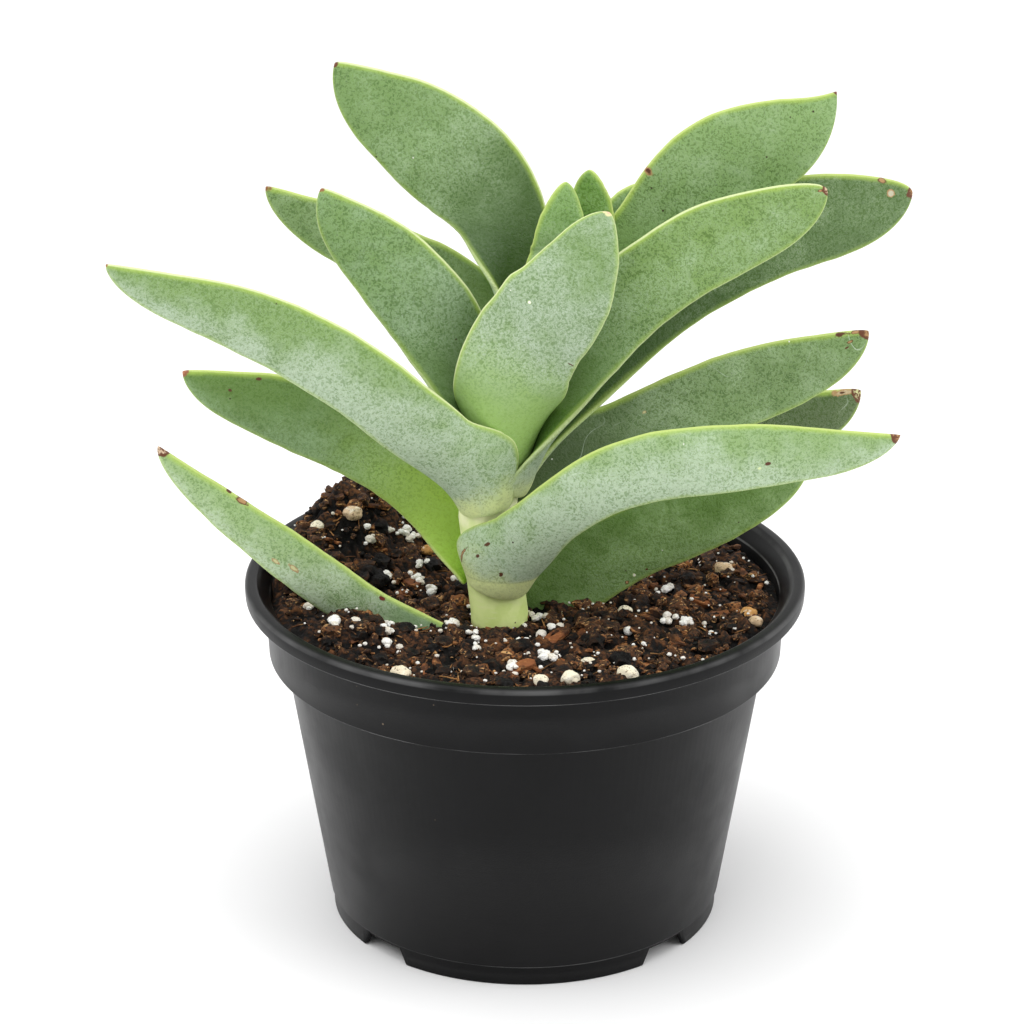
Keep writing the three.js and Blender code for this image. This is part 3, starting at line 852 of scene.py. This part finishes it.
# A waxy blade. Its outer face has a pale bloom that is rubbed away in places; its inner face is
# greener and dotted; the margins turn yellow and end in a pale line; the tip is dry.
def leafMaterial(name, changes):
    look = {**plainLook, **changes}
    texture = leafTexture
    material, tree = newMaterial(name)
    place = objectPlace(tree)
    along, margin, face, upper, tipAway = (attribute(tree, key) for key in leafAttributes)
    isOuter = ease(tree, face, -0.3, 0.12)

    def byFace(pair):
        return ease(tree, isOuter, 0, 1, *pair)

    broad, cloud, grain, fine = (
        speckle(tree, place, *texture[key]) for key in ("broad", "cloud", "grain", "fine")
    )

    plain = blend(tree, isOuter, look["inner"], look["outer"])
    pale = blend(tree, isOuter, look["innerPale"], look["outerPale"])
    broadPart, cloudPart = texture["bloomParts"]
    bloom = plus(tree, times(tree, broad, broadPart), times(tree, cloud, cloudPart))
    greenSides = [side * texture["greenReach"] for side in look["greenSides"]]
    lessAbove = times(tree, upper, byFace(greenSides))
    change, bloomed = texture["bloomChange"], look["bloomed"]
    lessAtTip = ease(tree, along, 0.1, 0.95, -change - bloomed, change - bloomed)
    bloom = minus(tree, minus(tree, bloom, lessAtTip), lessAbove)
    bloom = ease(tree, bloom, *texture["bloomRange"])
    color = blend(tree, bloom, plain, pale)

    nearBase = plus(tree, along, times(tree, cloud, 0.1))
    beyond = byFace([end + texture["baseBlur"] for end in look["baseEnd"]])
    baseShare = calc(tree, "DIVIDE", minus(tree, beyond, nearBase), beyond)
    baseShare = times(tree, ease(tree, baseShare, 0, 0.7), byFace(look["baseShares"]))
    # the base's tint: partly the leaf's own, partly painted shade deepening the inner face and
    # painted light brightening the outer sheath
    base = blend(tree, isOuter, look["innerBase"], look["outerBase"])
    color = blend(tree, baseShare, color, base)

    if look["ring"]:
        height = heightOf(tree, place)
        overRing = minus(tree, height, look["ring"] * mm)
        belowRing = ease(tree, overRing, 0.0008, -0.0004)
        color = blend(tree, belowRing, color, base)
        baseShare = calc(tree, "MAXIMUM", baseShare, belowRing)
        # painted shade: a faint dark line along the crease
        creaseShade = ease(tree, calc(tree, "ABSOLUTE", overRing), 0.0005, 0.0001, 0, 0.22)
        color = blend(tree, creaseShade, color, look["outerMark"])

    mark = blend(tree, isOuter, look["innerMark"], look["outerMark"])
    marks = dots(tree, drifting(tree, place, *texture["markDrift"]), *texture["markDots"])
    marks = calc(tree, "MAXIMUM", marks, ease(tree, fine, 0.48, 0.39, 0, 0.75))
    marks = calc(tree, "MAXIMUM", marks, ease(tree, grain, 0.4, 0.33, 0, 0.45))
    faint = times(tree, ease(tree, cloud, 0.3, 0.65, 1, 0.55), byFace(look["markShares"]))
    faint = times(tree, faint, ease(tree, baseShare, 0.4, 1, 1, 0.3))
    color = blend(tree, times(tree, marks, faint), color, mark)
    netShare = times(tree, byFace(look["netShares"]), ease(tree, bloom, 0, 1, 0.3, 1))
    netShare = times(tree, netShare, ease(tree, baseShare, 0.8, 0.2, 0.2, 1))
    pores = winding(tree, fine, texture["pores"])
    pores = calc(tree, "MAXIMUM", pores, ease(tree, fine, 0.56, 0.66))
    color = blend(tree, times(tree, pores, netShare), color, look["net"])
    if look["scratches"]:
        lines = speckle(tree, place, *texture["scratches"])
        lines = winding(tree, lines, texture["scratchWidth"])
        patchy = speckle(tree, place, *texture["scratched"])
        patchy = ease(tree, patchy, 0.48, 0.6, 0, look["scratches"] * 0.6)
        color = blend(tree, times(tree, lines, patchy), color, look["net"])

    uneven = plus(tree, margin, times(tree, minus(tree, cloud, 0.5), 1.2))
    onUpper = [ease(tree, upper, -0.3, 0.3, *look[key]) for key in ("bandShares", "lineShares")]
    band = times(tree, ease(tree, uneven, 1.7, 0.3), onUpper[0])
    color = blend(tree, band, color, look["band"])
    line = times(tree, ease(tree, margin, 0.52, 0.2), onUpper[1])
    color = blend(tree, line, color, look["line"])

    for scale, size, tint in (texture["darkSpots"], texture["paleSpots"]):
        color = blend(tree, dots(tree, place, scale, size, look["spots"]), color, tint)

    wobble = times(tree, minus(tree, grain, 0.5), texture["wobble"])
    for alongPlace, upperPlace, alongSize, upperSize, tint, rim in look["patches"]:
        lengthways = calc(tree, "DIVIDE", minus(tree, along, alongPlace), alongSize)
        sideways = calc(tree, "DIVIDE", minus(tree, upper, upperPlace), upperSize)
        apart = addNode(tree, "CombineXYZ", {"X": lengthways, "Y": sideways}).outputs[0]
        apart = addNode(tree, "VectorMath", {0: apart}, operation="LENGTH").outputs["Value"]
        apart = plus(tree, apart, wobble)
        color = blend(tree, ease(tree, apart, 1.25, 0.85), color, rim)
        color = blend(tree, ease(tree, apart, 0.9, 0.5), color, tint)

    ragged = times(tree, minus(tree, cloud, 0.5), texture["ragged"])
    end = plus(tree, tipAway, plus(tree, ragged, times(tree, wobble, 0.6)))
    size = look["tipSize"]
    color = blend(tree, ease(tree, end, size + 0.4, size), color, look["tipRim"])
    mottled = blend(tree, ease(tree, fine, 0.4, 0.6), look["tip"], look["tipRim"])
    color = blend(tree, ease(tree, end, size - 0.3, size - 0.9), color, mottled)

    markPart, cloudPart = texture["reliefParts"]
    relief = plus(tree, fine, times(tree, marks, markPart))
    relief = plus(tree, relief, plus(tree, grain, times(tree, cloud, cloudPart)))
    roughness = ease(tree, cloud, 0.3, 0.7, 0.46, 0.62)
    finishMaterial(
        tree, color, roughness, relief, texture["reliefHeight"], 0.6, texture["specular"]
    )
    return material


# the line through the leaf's middle, held up the stem by a point below the base
def leafLine(leaf):
    centre = stemCentre(leaf["height"])
    up = (stemCentre(leaf["height"] + 10) - centre).normalized()
    reach = interpolate(stem["radii"], leaf["height"]) + leafForm["sheathGrip"]
    base = centre + horizontal(leaf["side"]) * reach
    knee, middle, tip = Vector(leaf["knee"]), Vector(leaf["middle"]), Vector(leaf["tip"])
    below = base - up * (knee - base).length
    drop = leaf["hook"] * leaf["widths"][2] * 0.5 + leaf["flick"]
    end, upperEdge = tip.copy(), 1
    for _ in range(8):
        along = (end - middle).normalized()
        outward = horizontal(leaf["facing"])
        outward = (outward - along * outward.dot(along)).normalized()
        across = outward.cross(along)
        upperEdge = math.copysign(1, across.z)
        end = tip - across * upperEdge * drop
    return [below, base, knee, middle, end], reach, upperEdge


def leafWidth(leaf, t):
    sheath, neck, blade = leaf["widths"]
    if t < leafForm["neckEnd"]:
        return lerp(sheath, neck, smooth(t / leafForm["neckEnd"])), 0
    if t < leaf["widest"]:
        share = (t - leafForm["neckEnd"]) / (leaf["widest"] - leafForm["neckEnd"])
        return lerp(neck, blade, smooth(share)), 0
    u = (t - leaf["widest"]) / (1 - leaf["widest"])
    width = blade * max(0, 1 - u ** leaf["blunt"]) ** 0.6
    return width, leaf["hook"] * (blade - width) * 0.5 + leaf["flick"] * u ** 5


def collarReach(leaf, t):
    if "collar" not in leaf:
        return 0
    reach, peak = leaf["collar"]
    fade = leafForm["collarFade"]
    return reach * min(smooth(t / peak), smooth((peak + fade - t) / fade))


def squared(value):
    return math.copysign(abs(value) ** (2 / 3), value)


# where a cross-section of the leaf lies, and its size
def leafRow(leaf, line, t):
    points, reach, upperEdge = line
    onLine = lerp(leafForm["heldShare"], 1, t)
    along = tangentAt(points, onLine)
    outward = horizontal(leaf["side"]).lerp(
        horizontal(leaf["facing"]), smooth(t / leafForm["turnedOut"])
    )
    outward = (outward - along * outward.dot(along)).normalized()
    width, shift = leafWidth(leaf, t)
    closing = 1 - min(1, t / leafForm["sheathEnd"])
    tipShare = max(0, (t - leafForm["tipStart"]) / (1 - leafForm["tipStart"]))
    fullness = math.sqrt(1 - closing ** 2) * math.sqrt(max(0, 1 - tipShare ** 3))
    thickness = lerp(
        leafForm["sheathThickness"], leafForm["thickness"], smooth(t / leafForm["neckEnd"])
    )
    return {
        "centre": onCurve(points, onLine),
        "outward": outward,
        "across": outward.cross(along),
        "shift": shift * upperEdge,
        "collar": collarReach(leaf, t),
        "halfWidth": width / 2 * (1 - closing ** 5) ** 0.2,
        "halfThick": thickness / 2 * fullness * (1 - leafForm["thinning"] * t),
        "bend": (1 - smooth(t / leafForm["unrolled"])) / reach + leafForm["cup"],
    }


def buildLeaf(name, leaf, material):
    line = leafLine(leaf)
    upperEdge = line[2]
    seed = leaf["height"]
    tip = Vector(leaf["tip"])
    coarseWaves, fineWaves = leafForm["edgeWaves"]
    lengthWaves, widthWaves = leafForm["faceWaves"]
    bm = bmesh.new()
    bmesh.ops.create_uvsphere(
        bm, u_segments=leafForm["sides"], v_segments=leafForm["rows"], radius=1
    )
    layers = {key: bm.verts.layers.float.new(key) for key in leafAttributes}
    rows = {}
    for v in bm.verts:
        t = min(1, max(0, (1 - v.co.z) / 2))
        key = round(t, 6)
        if key not in rows:
            rows[key] = leafRow(leaf, line, t)
        row = rows[key]
        around = math.atan2(v.co.y, v.co.x)
        side = squared(math.cos(around))
        lens = 1 - leafForm["marginThinning"] * side * side
        lift = row["halfThick"] * lens * squared(math.sin(around))
        free = smooth((t - leafForm["waveStart"]) / leafForm["waveGrowth"])
        free *= smooth((leafForm["waveEnd"] - t) / leafForm["waveFade"])
        whichEdge = 3 * math.copysign(1, side)
        edge = noise.noise(Vector((t * coarseWaves, whichEdge, seed)))
        edge += leafForm["fineShare"] * noise.noise(Vector((t * fineWaves, whichEdge, seed)))
        ripple = noise.noise(Vector((t * lengthWaves, side * widthWaves, seed)))
        inset = leafForm["edgeWave"] * free * (leafForm["edgeInset"] + edge) * abs(side)
        halfWidth = row["halfWidth"] - inset
        angle = row["bend"] * halfWidth * side
        radius = 1 / row["bend"] + lift + leafForm["faceWave"] * free * ripple
        collar = max(0, side * upperEdge) * row["collar"] * upperEdge
        v[layers["along"]] = t
        v[layers["margin"]] = row["halfWidth"] * (1 - abs(side))
        v[layers["face"]] = math.sin(around)
        v[layers["upper"]] = side * upperEdge
        v.co = (
            row["centre"] + row["across"] * (math.sin(angle) * radius + row["shift"] + collar)
            + row["outward"] * (math.cos(angle) * radius - 1 / row["bend"])
        )
        # the finer edge may not stand past the solids' own box
        v.co = Vector(min(max(c, a / mm), b / mm) for c, a, b in zip(v.co, *cadBox))
        v[layers["tipAway"]] = (v.co - tip).length
    bmesh.ops.recalc_face_normals(bm, faces=bm.faces)
    return addPiece(bm, name + "_blade", material, [name])


soil = {
    "level": 92,
    "rings": 120,
    "sides": 400,
    "roughness": [(3.6, 2.1), (1.6, 1.4), (0.8, 0.6)],
    "edgeDip": 2,
    "edgeReach": 5.7,
    "smoothReach": 3,
    "driftSize": 2.2,
    "clearance": 0.4,
    "floorClearance": 0.3,
    "crumbSize": 6.5,
    "crumbHeight": 1.5,
    "heap": {"azimuth": 150, "spread": 27, "radius": 57, "breadth": 17, "height": 19},
    "mounds": [(-6.8, -18, 12, -3), (-48, -30, 12, 5)],
    "black": rgb(6, 4, 3),
    "dark": rgb(18, 11, 8),
    "brown": rgb(88, 58, 37),
    "russet": rgb(140, 90, 50),
    "tan": rgb(226, 178, 118),
    "fleck": rgb(206, 184, 148),
    "peatCloud": (160, 4),
    "peatGrain": (900, 4),
    "flecks": (700, 0.2, 0.05),
    "crumbGrain": (1300, 4),
    "streakDrift": (200, 0.004),
    "streaks": (1400, 3),
    "barkStreaks": (1100, 3, 0.5),
    "barkCloud": (260, 3),
}


# peat: brown on its crumbs, with painted shade that turns it nearly black in its hollows
def peatMaterial():
    material, tree = newMaterial("soilPeat")
    place = objectPlace(tree)
    cloud = speckle(tree, place, *soil["peatCloud"])
    grain = speckle(tree, place, *soil["peatGrain"])
    raised = attribute(tree, "shade")
    color = blend(tree, ease(tree, grain, 0.4, 0.68), soil["dark"], soil["brown"])
    color = blend(tree, ease(tree, cloud, 0.56, 0.72, 0, 0.6), color, soil["russet"])
    # painted shade: black where the relief is low
    color = blend(tree, ease(tree, raised, 1, -0.4), color, soil["black"])
    color = blend(tree, dots(tree, place, *soil["flecks"]), color, soil["fleck"])
    roughness = ease(tree, grain, 0.3, 0.7, 0.75, 1)
    finishMaterial(tree, color, roughness, grain, 0.0006, 0.9, 0.25)
    return material


# Crumbs of peat and coir, each with its own tone, with painted shade that blackens their dents and
# painted light that makes their knobs paler, and streaked with fibres.
def crumbMaterial():
    material, tree = newMaterial("soilCrumb")
    place = objectPlace(tree)
    grain = speckle(tree, place, *soil["crumbGrain"])
    drawnOut = drifting(tree, stretched(tree, place, (0.3, 1, 1)), *soil["streakDrift"])
    streaks = speckle(tree, drawnOut, *soil["streaks"])
    shade = attribute(tree, "shade")
    # the shade attribute holds each crumb's own tone together with the painted shade and light of its
    # dents and knobs
    color = blend(tree, ease(tree, shade, 0.05, 0.85), soil["black"], soil["brown"])
    color = blend(tree, ease(tree, shade, 0.75, 1.15), color, soil["russet"])
    fibrous = ease(tree, streaks, 0.55, 0.68)
    fibrous = times(tree, fibrous, ease(tree, shade, 0.3, 0.7, 0, 0.85))
    color = blend(tree, fibrous, color, soil["tan"])
    color = blend(tree, ease(tree, grain, 0.52, 0.4, 0, 0.92), color, soil["black"])
    finishMaterial(tree, color, ease(tree, grain, 0.3, 0.7, 0.7, 1), grain, 0.0003, 0.9, 0.3)
    return material


# bark and coir, dark to orange, streaked by a noise drawn out along one direction
def barkMaterial(name, tints):
    material, tree = newMaterial(name)
    place = objectPlace(tree)
    shade = attribute(tree, "shade")
    streaks = speckle(tree, stretched(tree, place, (0.4, 1, 1.4)), *soil["barkStreaks"])
    cloud = speckle(tree, place, *soil["barkCloud"])
    color = blend(tree, ease(tree, shade, 0.2, 0.95), tints[0], tints[1])
    color = blend(tree, ease(tree, streaks, 0.5, 0.7, 0, 0.7), color, tints[2])
    color = blend(tree, ease(tree, cloud, 0.55, 0.4, 0, 0.75), color, soil["dark"])
    finishMaterial(tree, color, ease(tree, streaks, 0.3, 0.7, 0.65, 0.95), streaks, 0.0004, 0.9, 0.3)
    return material


# mineral grains: pores, soiled hollows, and a tint that changes from stone to stone
def mineralMaterial(name, tints, poreScale, soiled):
    material, tree = newMaterial(name)
    place = objectPlace(tree)
    shade = attribute(tree, "shade")
    cloud = speckle(tree, place, poreScale * 0.35, 4)
    pores = speckle(tree, place, poreScale, 3)
    color = blend(tree, ease(tree, shade, 0.35, 0.8), tints[0], tints[1])
    color = blend(tree, ease(tree, cloud, 0.52, 0.7, 0, 0.7), color, tints[2])
    color = blend(tree, ease(tree, pores, 0.44, 0.33, 0, soiled), color, soil["brown"])
    finishMaterial(tree, color, ease(tree, pores, 0.3, 0.7, 0.95, 0.75), pores, 0.0003, 0.8, 0.3)
    return material


# a lattice noise between -1 and 1, one cell to the unit
def crumble(x, y):
    def cell(i, j):
        value = math.sin(i * 127.1 + j * 311.7) * 43758.5453
        return (value - math.floor(value)) * 2 - 1

    i, j = math.floor(x), math.floor(y)
    near = lerp(cell(i, j), cell(i + 1, j), smooth(x - i))
    far = lerp(cell(i, j + 1), cell(i + 1, j + 1), smooth(x - i))
    return lerp(near, far, smooth(y - j))


def soilHeight(x, y):
    heap = soil["heap"]
    sideways = (math.degrees(math.atan2(y, x)) - heap["azimuth"]) / heap["spread"]
    inwards = (math.hypot(x, y) - heap["radius"]) / heap["breadth"]
    heaped = heap["height"] * math.exp(-sideways ** 2 - inwards ** 2)
    size = soil["crumbSize"]
    level = soil["level"] + heaped + soil["crumbHeight"] * crumble(x / size, y / size)
    for moundX, moundY, reach, height in soil["mounds"]:
        level += height * math.exp(-(math.hypot(x - moundX, y - moundY) / reach) ** 2)
    return level


def buildSoil(material):
    gap = pot["wall"] + soil["clearance"]
    edgeRadius = pot["bandTopRadius"] - gap
    shoulder = pot["bandBottom"] + gap
    floorLevel = pot["footHeight"] + pot["wall"] + soil["floorClearance"]
    profile = [
        (0, floorLevel),
        (pot["bodyBottomRadius"] - gap, floorLevel),
        (pot["bodyTopRadius"] - gap, shoulder),
        (pot["bandBottomRadius"] - gap, shoulder),
    ]
    rings = soil["rings"]
    profile += [(edgeRadius * (1 - i / rings), pot["lipBottom"]) for i in range(rings + 1)]
    bm = turned(profile, soil["sides"])
    shadeLayer = bm.verts.layers.float.new("shade")
    for v in bm.verts:
        if v.co.z < pot["lipBottom"] - 0.01:
            continue
        fromEdge = edgeRadius - math.hypot(v.co.x, v.co.y)
        inside = min(1, fromEdge / soil["smoothReach"])
        place = Vector((v.co.x, v.co.y, 0))
        rough = sum(
            depth * noise.noise(place / size + Vector((0, 0, size)))
            for size, depth in soil["roughness"]
        )
        drift = place / soil["driftSize"]
        v.co.x += inside * noise.noise(drift + Vector((9, 0, 0)))
        v.co.y += inside * noise.noise(drift + Vector((0, 9, 0)))
        v.co.z = soilHeight(v.co.x, v.co.y) + inside * rough
        v.co.z -= soil["edgeDip"] * max(0, 1 - fromEdge / soil["edgeReach"])
        # the relief, kept for the painted shade in the hollows
        v[shadeLayer] = rough
    return addPiece(bm, "soil_bed", material, ["soil"])


# the same draws as the solid's, so that the same lumps lie in the same places
def seededDraws(seed):
    state = seed
    while True:
        state = (state * 1664525 + 1013904223) % 4294967296
        yield state / 4294967296


scatter = {
    "seed": 7,
    "radius": 61,
    "pumice": [
        (54.5, 12.3, 3.4, 0.6), (60, -17, 2.6, 0.95), (61.5, -22.5, 2.2, 0.6),
        (16.5, -46, 2.2, 0.4), (27, -11.7, 2.2, 0.3), (-47.3, 17.8, 2.8, 0.58),
        (-56.9, 12.8, 2.4, 0.35), (-27.1, 21.6, 2, 0.8), (-32.4, -53, 3.2, 0.45),
        (4.2, -60.4, 2.4, 0.1), (11.7, -59, 3, 0.2), (26.7, -55.4, 3.3, 0.1),
    ],
    "perliteGrains": 26,
    "perliteSizes": (1, 1.9),
    "barkChips": 22,
    "barkLengths": (6, 11),
    "barkWidth": 3.6,
    "barkThickness": 1.8,
    "clusters": [
        (-43.8, 13.6), (-37.2, 20.4), (-31.8, 22.8), (-29.6, 24.8), (-28.2, 11.7), (-29.7, 5.6),
        (-27.7, 1.1), (-36.7, 2.9), (-59.5, -11.9), (-50.7, -31.8), (-43.9, -35.6),
        (-36.3, -35.1), (-35.3, -26.6), (-34.4, -40.1), (-19.2, -21.7), (-1, -35.6),
        (11.1, -6.2), (3.8, -15.7), (9.1, -28.1), (5.3, -46.9), (7.6, -48.3), (38.4, -23),
        (43.8, -22.5), (38.6, -1.1), (-14, -31.3), (-3.6, -52.4),
    ],
    "clusterSizes": (0.7, 1.5),
    "clusterSpread": 2.4,
    "clusterLift": 1.3,
    "smallPerlite": 330,
    "smallPerliteSizes": (0.3, 0.8),
    "clods": 620,
    "clodSizes": (1, 3.5),
    "crumbs": 2300,
    "crumbSizes": (0.4, 1.3),
    "flakes": 260,
    "flakeLengths": (2, 6.5),
    "fibres": 430,
    "fibreLengths": (2, 9),
    "fibreWidth": 0.3,
    "flakeWidth": 0.45,
    "flakeThickness": 0.9,
    "chipReach": 65,
    "grainReach": 66,
    "crumbReach": 66.5,
    "knobbly": 1.6,
    "ragged": 4,
    "lumpRise": 0.15,
    "chipRise": 0.3,
    "chipTilt": 0.8,
}

# The shade of each kind runs from the first tint to the second, mottled with the third
scatterLooks = {
    "pumice": {
        "tints": (rgb(238, 228, 202), rgb(196, 146, 84), rgb(246, 240, 224)),
        "poreScale": 1500, "soiled": 0.7,
    },
    "perlite": {
        "tints": (rgb(244, 242, 236), rgb(222, 214, 200), rgb(252, 252, 250)),
        "poreScale": 2200, "soiled": 0.3,
    },
    "bark": {"tints": (rgb(44, 27, 18), rgb(134, 80, 44), rgb(200, 142, 88))},
    "fibre": {"tints": (rgb(96, 60, 34), rgb(168, 118, 68), rgb(190, 150, 100))},
}


def scatteredPlace(draws, reach=None):
    place = horizontal(next(draws) * 360) * (reach or scatter["radius"]) * math.sqrt(next(draws))
    return place.x, place.y


def onSoil(x, y, above):
    return Matrix.Translation((x, y, soilHeight(x, y) + above))


def newScatterMesh():
    bm = bmesh.new()
    bm.verts.layers.float.new("shade")
    return bm


def pourInto(bm, part):
    mesh = meshFrom(part, "part")
    bm.from_mesh(mesh)
    bpy.data.meshes.remove(mesh)


# a rounded stone, grain or clod, lying a little in the soil
def addLump(bm, x, y, radius, draws, detail, shade, knobbly=1.0, lift=0.0, shading=0.0):
    size = Matrix.Diagonal((1, 0.75 + 0.25 * next(draws), 0.75, 1))
    turn = Matrix.Rotation(next(draws) * math.pi, 4, "Z")
    lump = newScatterMesh()
    bmesh.ops.create_icosphere(lump, subdivisions=detail, radius=1)
    shadeLayer = lump.verts.layers.float["shade"]
    for v in lump.verts:
        bump = noise.noise(v.co * 1.4 + Vector((x, y, 0)))
        dent = noise.noise(v.co * 4.5 + Vector((y, x, 0)))
        relief = 0.16 * bump + 0.06 * dent
        v.co *= radius * (0.94 + knobbly * relief)
        # shading adds painted shade and light: the shade drops in the dents and rises on the knobs
        v[shadeLayer] = shade + shading * relief
    bmesh.ops.transform(
        lump, verts=lump.verts,
        matrix=onSoil(x, y, radius * scatter["lumpRise"] + lift) @ turn @ size,
    )
    pourInto(bm, lump)


# a splinter of bark, ridged along its grain and broken at its ends
def addChip(bm, x, y, length, width, thickness, draws, cuts, shade):
    tilt = Matrix.Rotation((next(draws) - 0.5) * scatter["chipTilt"], 4, "Y")
    lean = Matrix.Rotation((next(draws) - 0.5) * scatter["chipTilt"], 4, "X")
    turn = Matrix.Rotation(next(draws) * math.pi, 4, "Z")
    chip = newScatterMesh()
    bmesh.ops.create_cube(chip, size=1)
    bmesh.ops.subdivide_edges(chip, edges=chip.edges, cuts=cuts, use_grid_fill=True)
    shadeLayer = chip.verts.layers.float["shade"]
    for v in chip.verts:
        ridge = noise.noise(Vector((v.co.x * 1.5, v.co.y * 6 + x, v.co.z * 4 + y)))
        broken = noise.noise(Vector((v.co.y * 5 + x, v.co.z * 3, y)))
        bow = noise.noise(Vector((v.co.x * 2, x, y)))
        narrowing = 1 - 0.45 * (2 * abs(v.co.x)) ** 3
        v.co.x *= length * (0.9 + 0.2 * broken)
        v.co.y *= width * narrowing * (0.92 + 0.3 * ridge)
        v.co.z = v.co.z * thickness * (0.85 + 0.5 * ridge) + 0.12 * length * bow
        v[shadeLayer] = shade
    bmesh.ops.transform(
        chip, verts=chip.verts,
        matrix=onSoil(x, y, scatter["chipRise"]) @ turn @ lean @ tilt,
    )
    pourInto(bm, chip)


def buildStones(materials):
    draws = seededDraws(scatter["seed"])
    looks = random.Random(3)
    stones, grains, chips = newScatterMesh(), newScatterMesh(), newScatterMesh()
    for x, y, radius, shade in scatter["pumice"]:
        addLump(stones, x, y, radius, draws, 4, shade)
    for _ in range(scatter["perliteGrains"]):
        radius = lerp(*scatter["perliteSizes"], next(draws))
        x, y = scatteredPlace(draws)
        addLump(grains, x, y, radius, draws, 3, looks.random())
    for _ in range(scatter["barkChips"]):
        x, y = scatteredPlace(draws)
        length = lerp(*scatter["barkLengths"], next(draws))
        addChip(
            chips, x, y, length, scatter["barkWidth"], scatter["barkThickness"], draws, 5,
            looks.random(),
        )
    addPiece(stones, "soil_pumice", materials["pumice"])

    for x, y in scatter["clusters"]:
        for _ in range(looks.randint(3, 6)):
            away = horizontal(looks.random() * 360) * scatter["clusterSpread"] * looks.random()
            radius = lerp(*scatter["clusterSizes"], looks.random())
            addLump(
                grains, x + away.x, y + away.y, radius, draws, 3, looks.random(),
                scatter["knobbly"], scatter["clusterLift"],
            )
    for _ in range(scatter["smallPerlite"]):
        radius = lerp(*scatter["smallPerliteSizes"], looks.random() ** 2)
        x, y = scatteredPlace(draws, scatter["grainReach"])
        addLump(
            grains, x, y, radius, draws, 2, looks.random(),
            scatter["knobbly"], scatter["clusterLift"],
        )
    addPiece(grains, "soil_perlite", materials["perlite"], faceted=True)

    for _ in range(scatter["flakes"]):
        x, y = scatteredPlace(draws, scatter["chipReach"])
        length = lerp(*scatter["flakeLengths"], looks.random())
        width, thickness = length * scatter["flakeWidth"], scatter["flakeThickness"]
        addChip(chips, x, y, length, width, thickness, draws, 2, looks.random())
    addPiece(chips, "soil_bark", materials["bark"])

    crumbs = newScatterMesh()
    for kind, sizes, detail in (("clods", "clodSizes", 2), ("crumbs", "crumbSizes", 1)):
        for _ in range(scatter[kind]):
            radius = lerp(*scatter[sizes], looks.random() ** 2)
            x, y = scatteredPlace(draws, scatter["crumbReach"] - radius)
            addLump(
                crumbs, x, y, radius, draws, detail, looks.random(),
                knobbly=scatter["ragged"], shading=scatter["ragged"],
            )
    addPiece(crumbs, "soil_crumbs", materials["crumb"], faceted=True)

    fibres = newScatterMesh()
    for _ in range(scatter["fibres"]):
        x, y = scatteredPlace(draws, scatter["chipReach"])
        length = lerp(*scatter["fibreLengths"], looks.random())
        width = scatter["fibreWidth"]
        addChip(fibres, x, y, length, width, width, draws, 2, looks.random())
    addPiece(fibres, "soil_fibres", materials["fibre"])


buildCamera()
buildStudio()
buildPot(potMaterial())
print("pot made")
buildStem(stemMaterial())
print("stem made")
for leafName, leafShape in leaves.items():
    flesh = leafMaterial(leafName + "_flesh", leafLooks[leafName])
    buildLeaf(leafName, {**plainLeaf, **leafShape}, flesh)
print("leaves made")
buildSoil(peatMaterial())
buildStones({
    "pumice": mineralMaterial("pumice", **scatterLooks["pumice"]),
    "perlite": mineralMaterial("perlite", **scatterLooks["perlite"]),
    "bark": barkMaterial("bark", **scatterLooks["bark"]),
    "crumb": crumbMaterial(),
    "fibre": barkMaterial("fibre", **scatterLooks["fibre"]),
})
print("soil made")
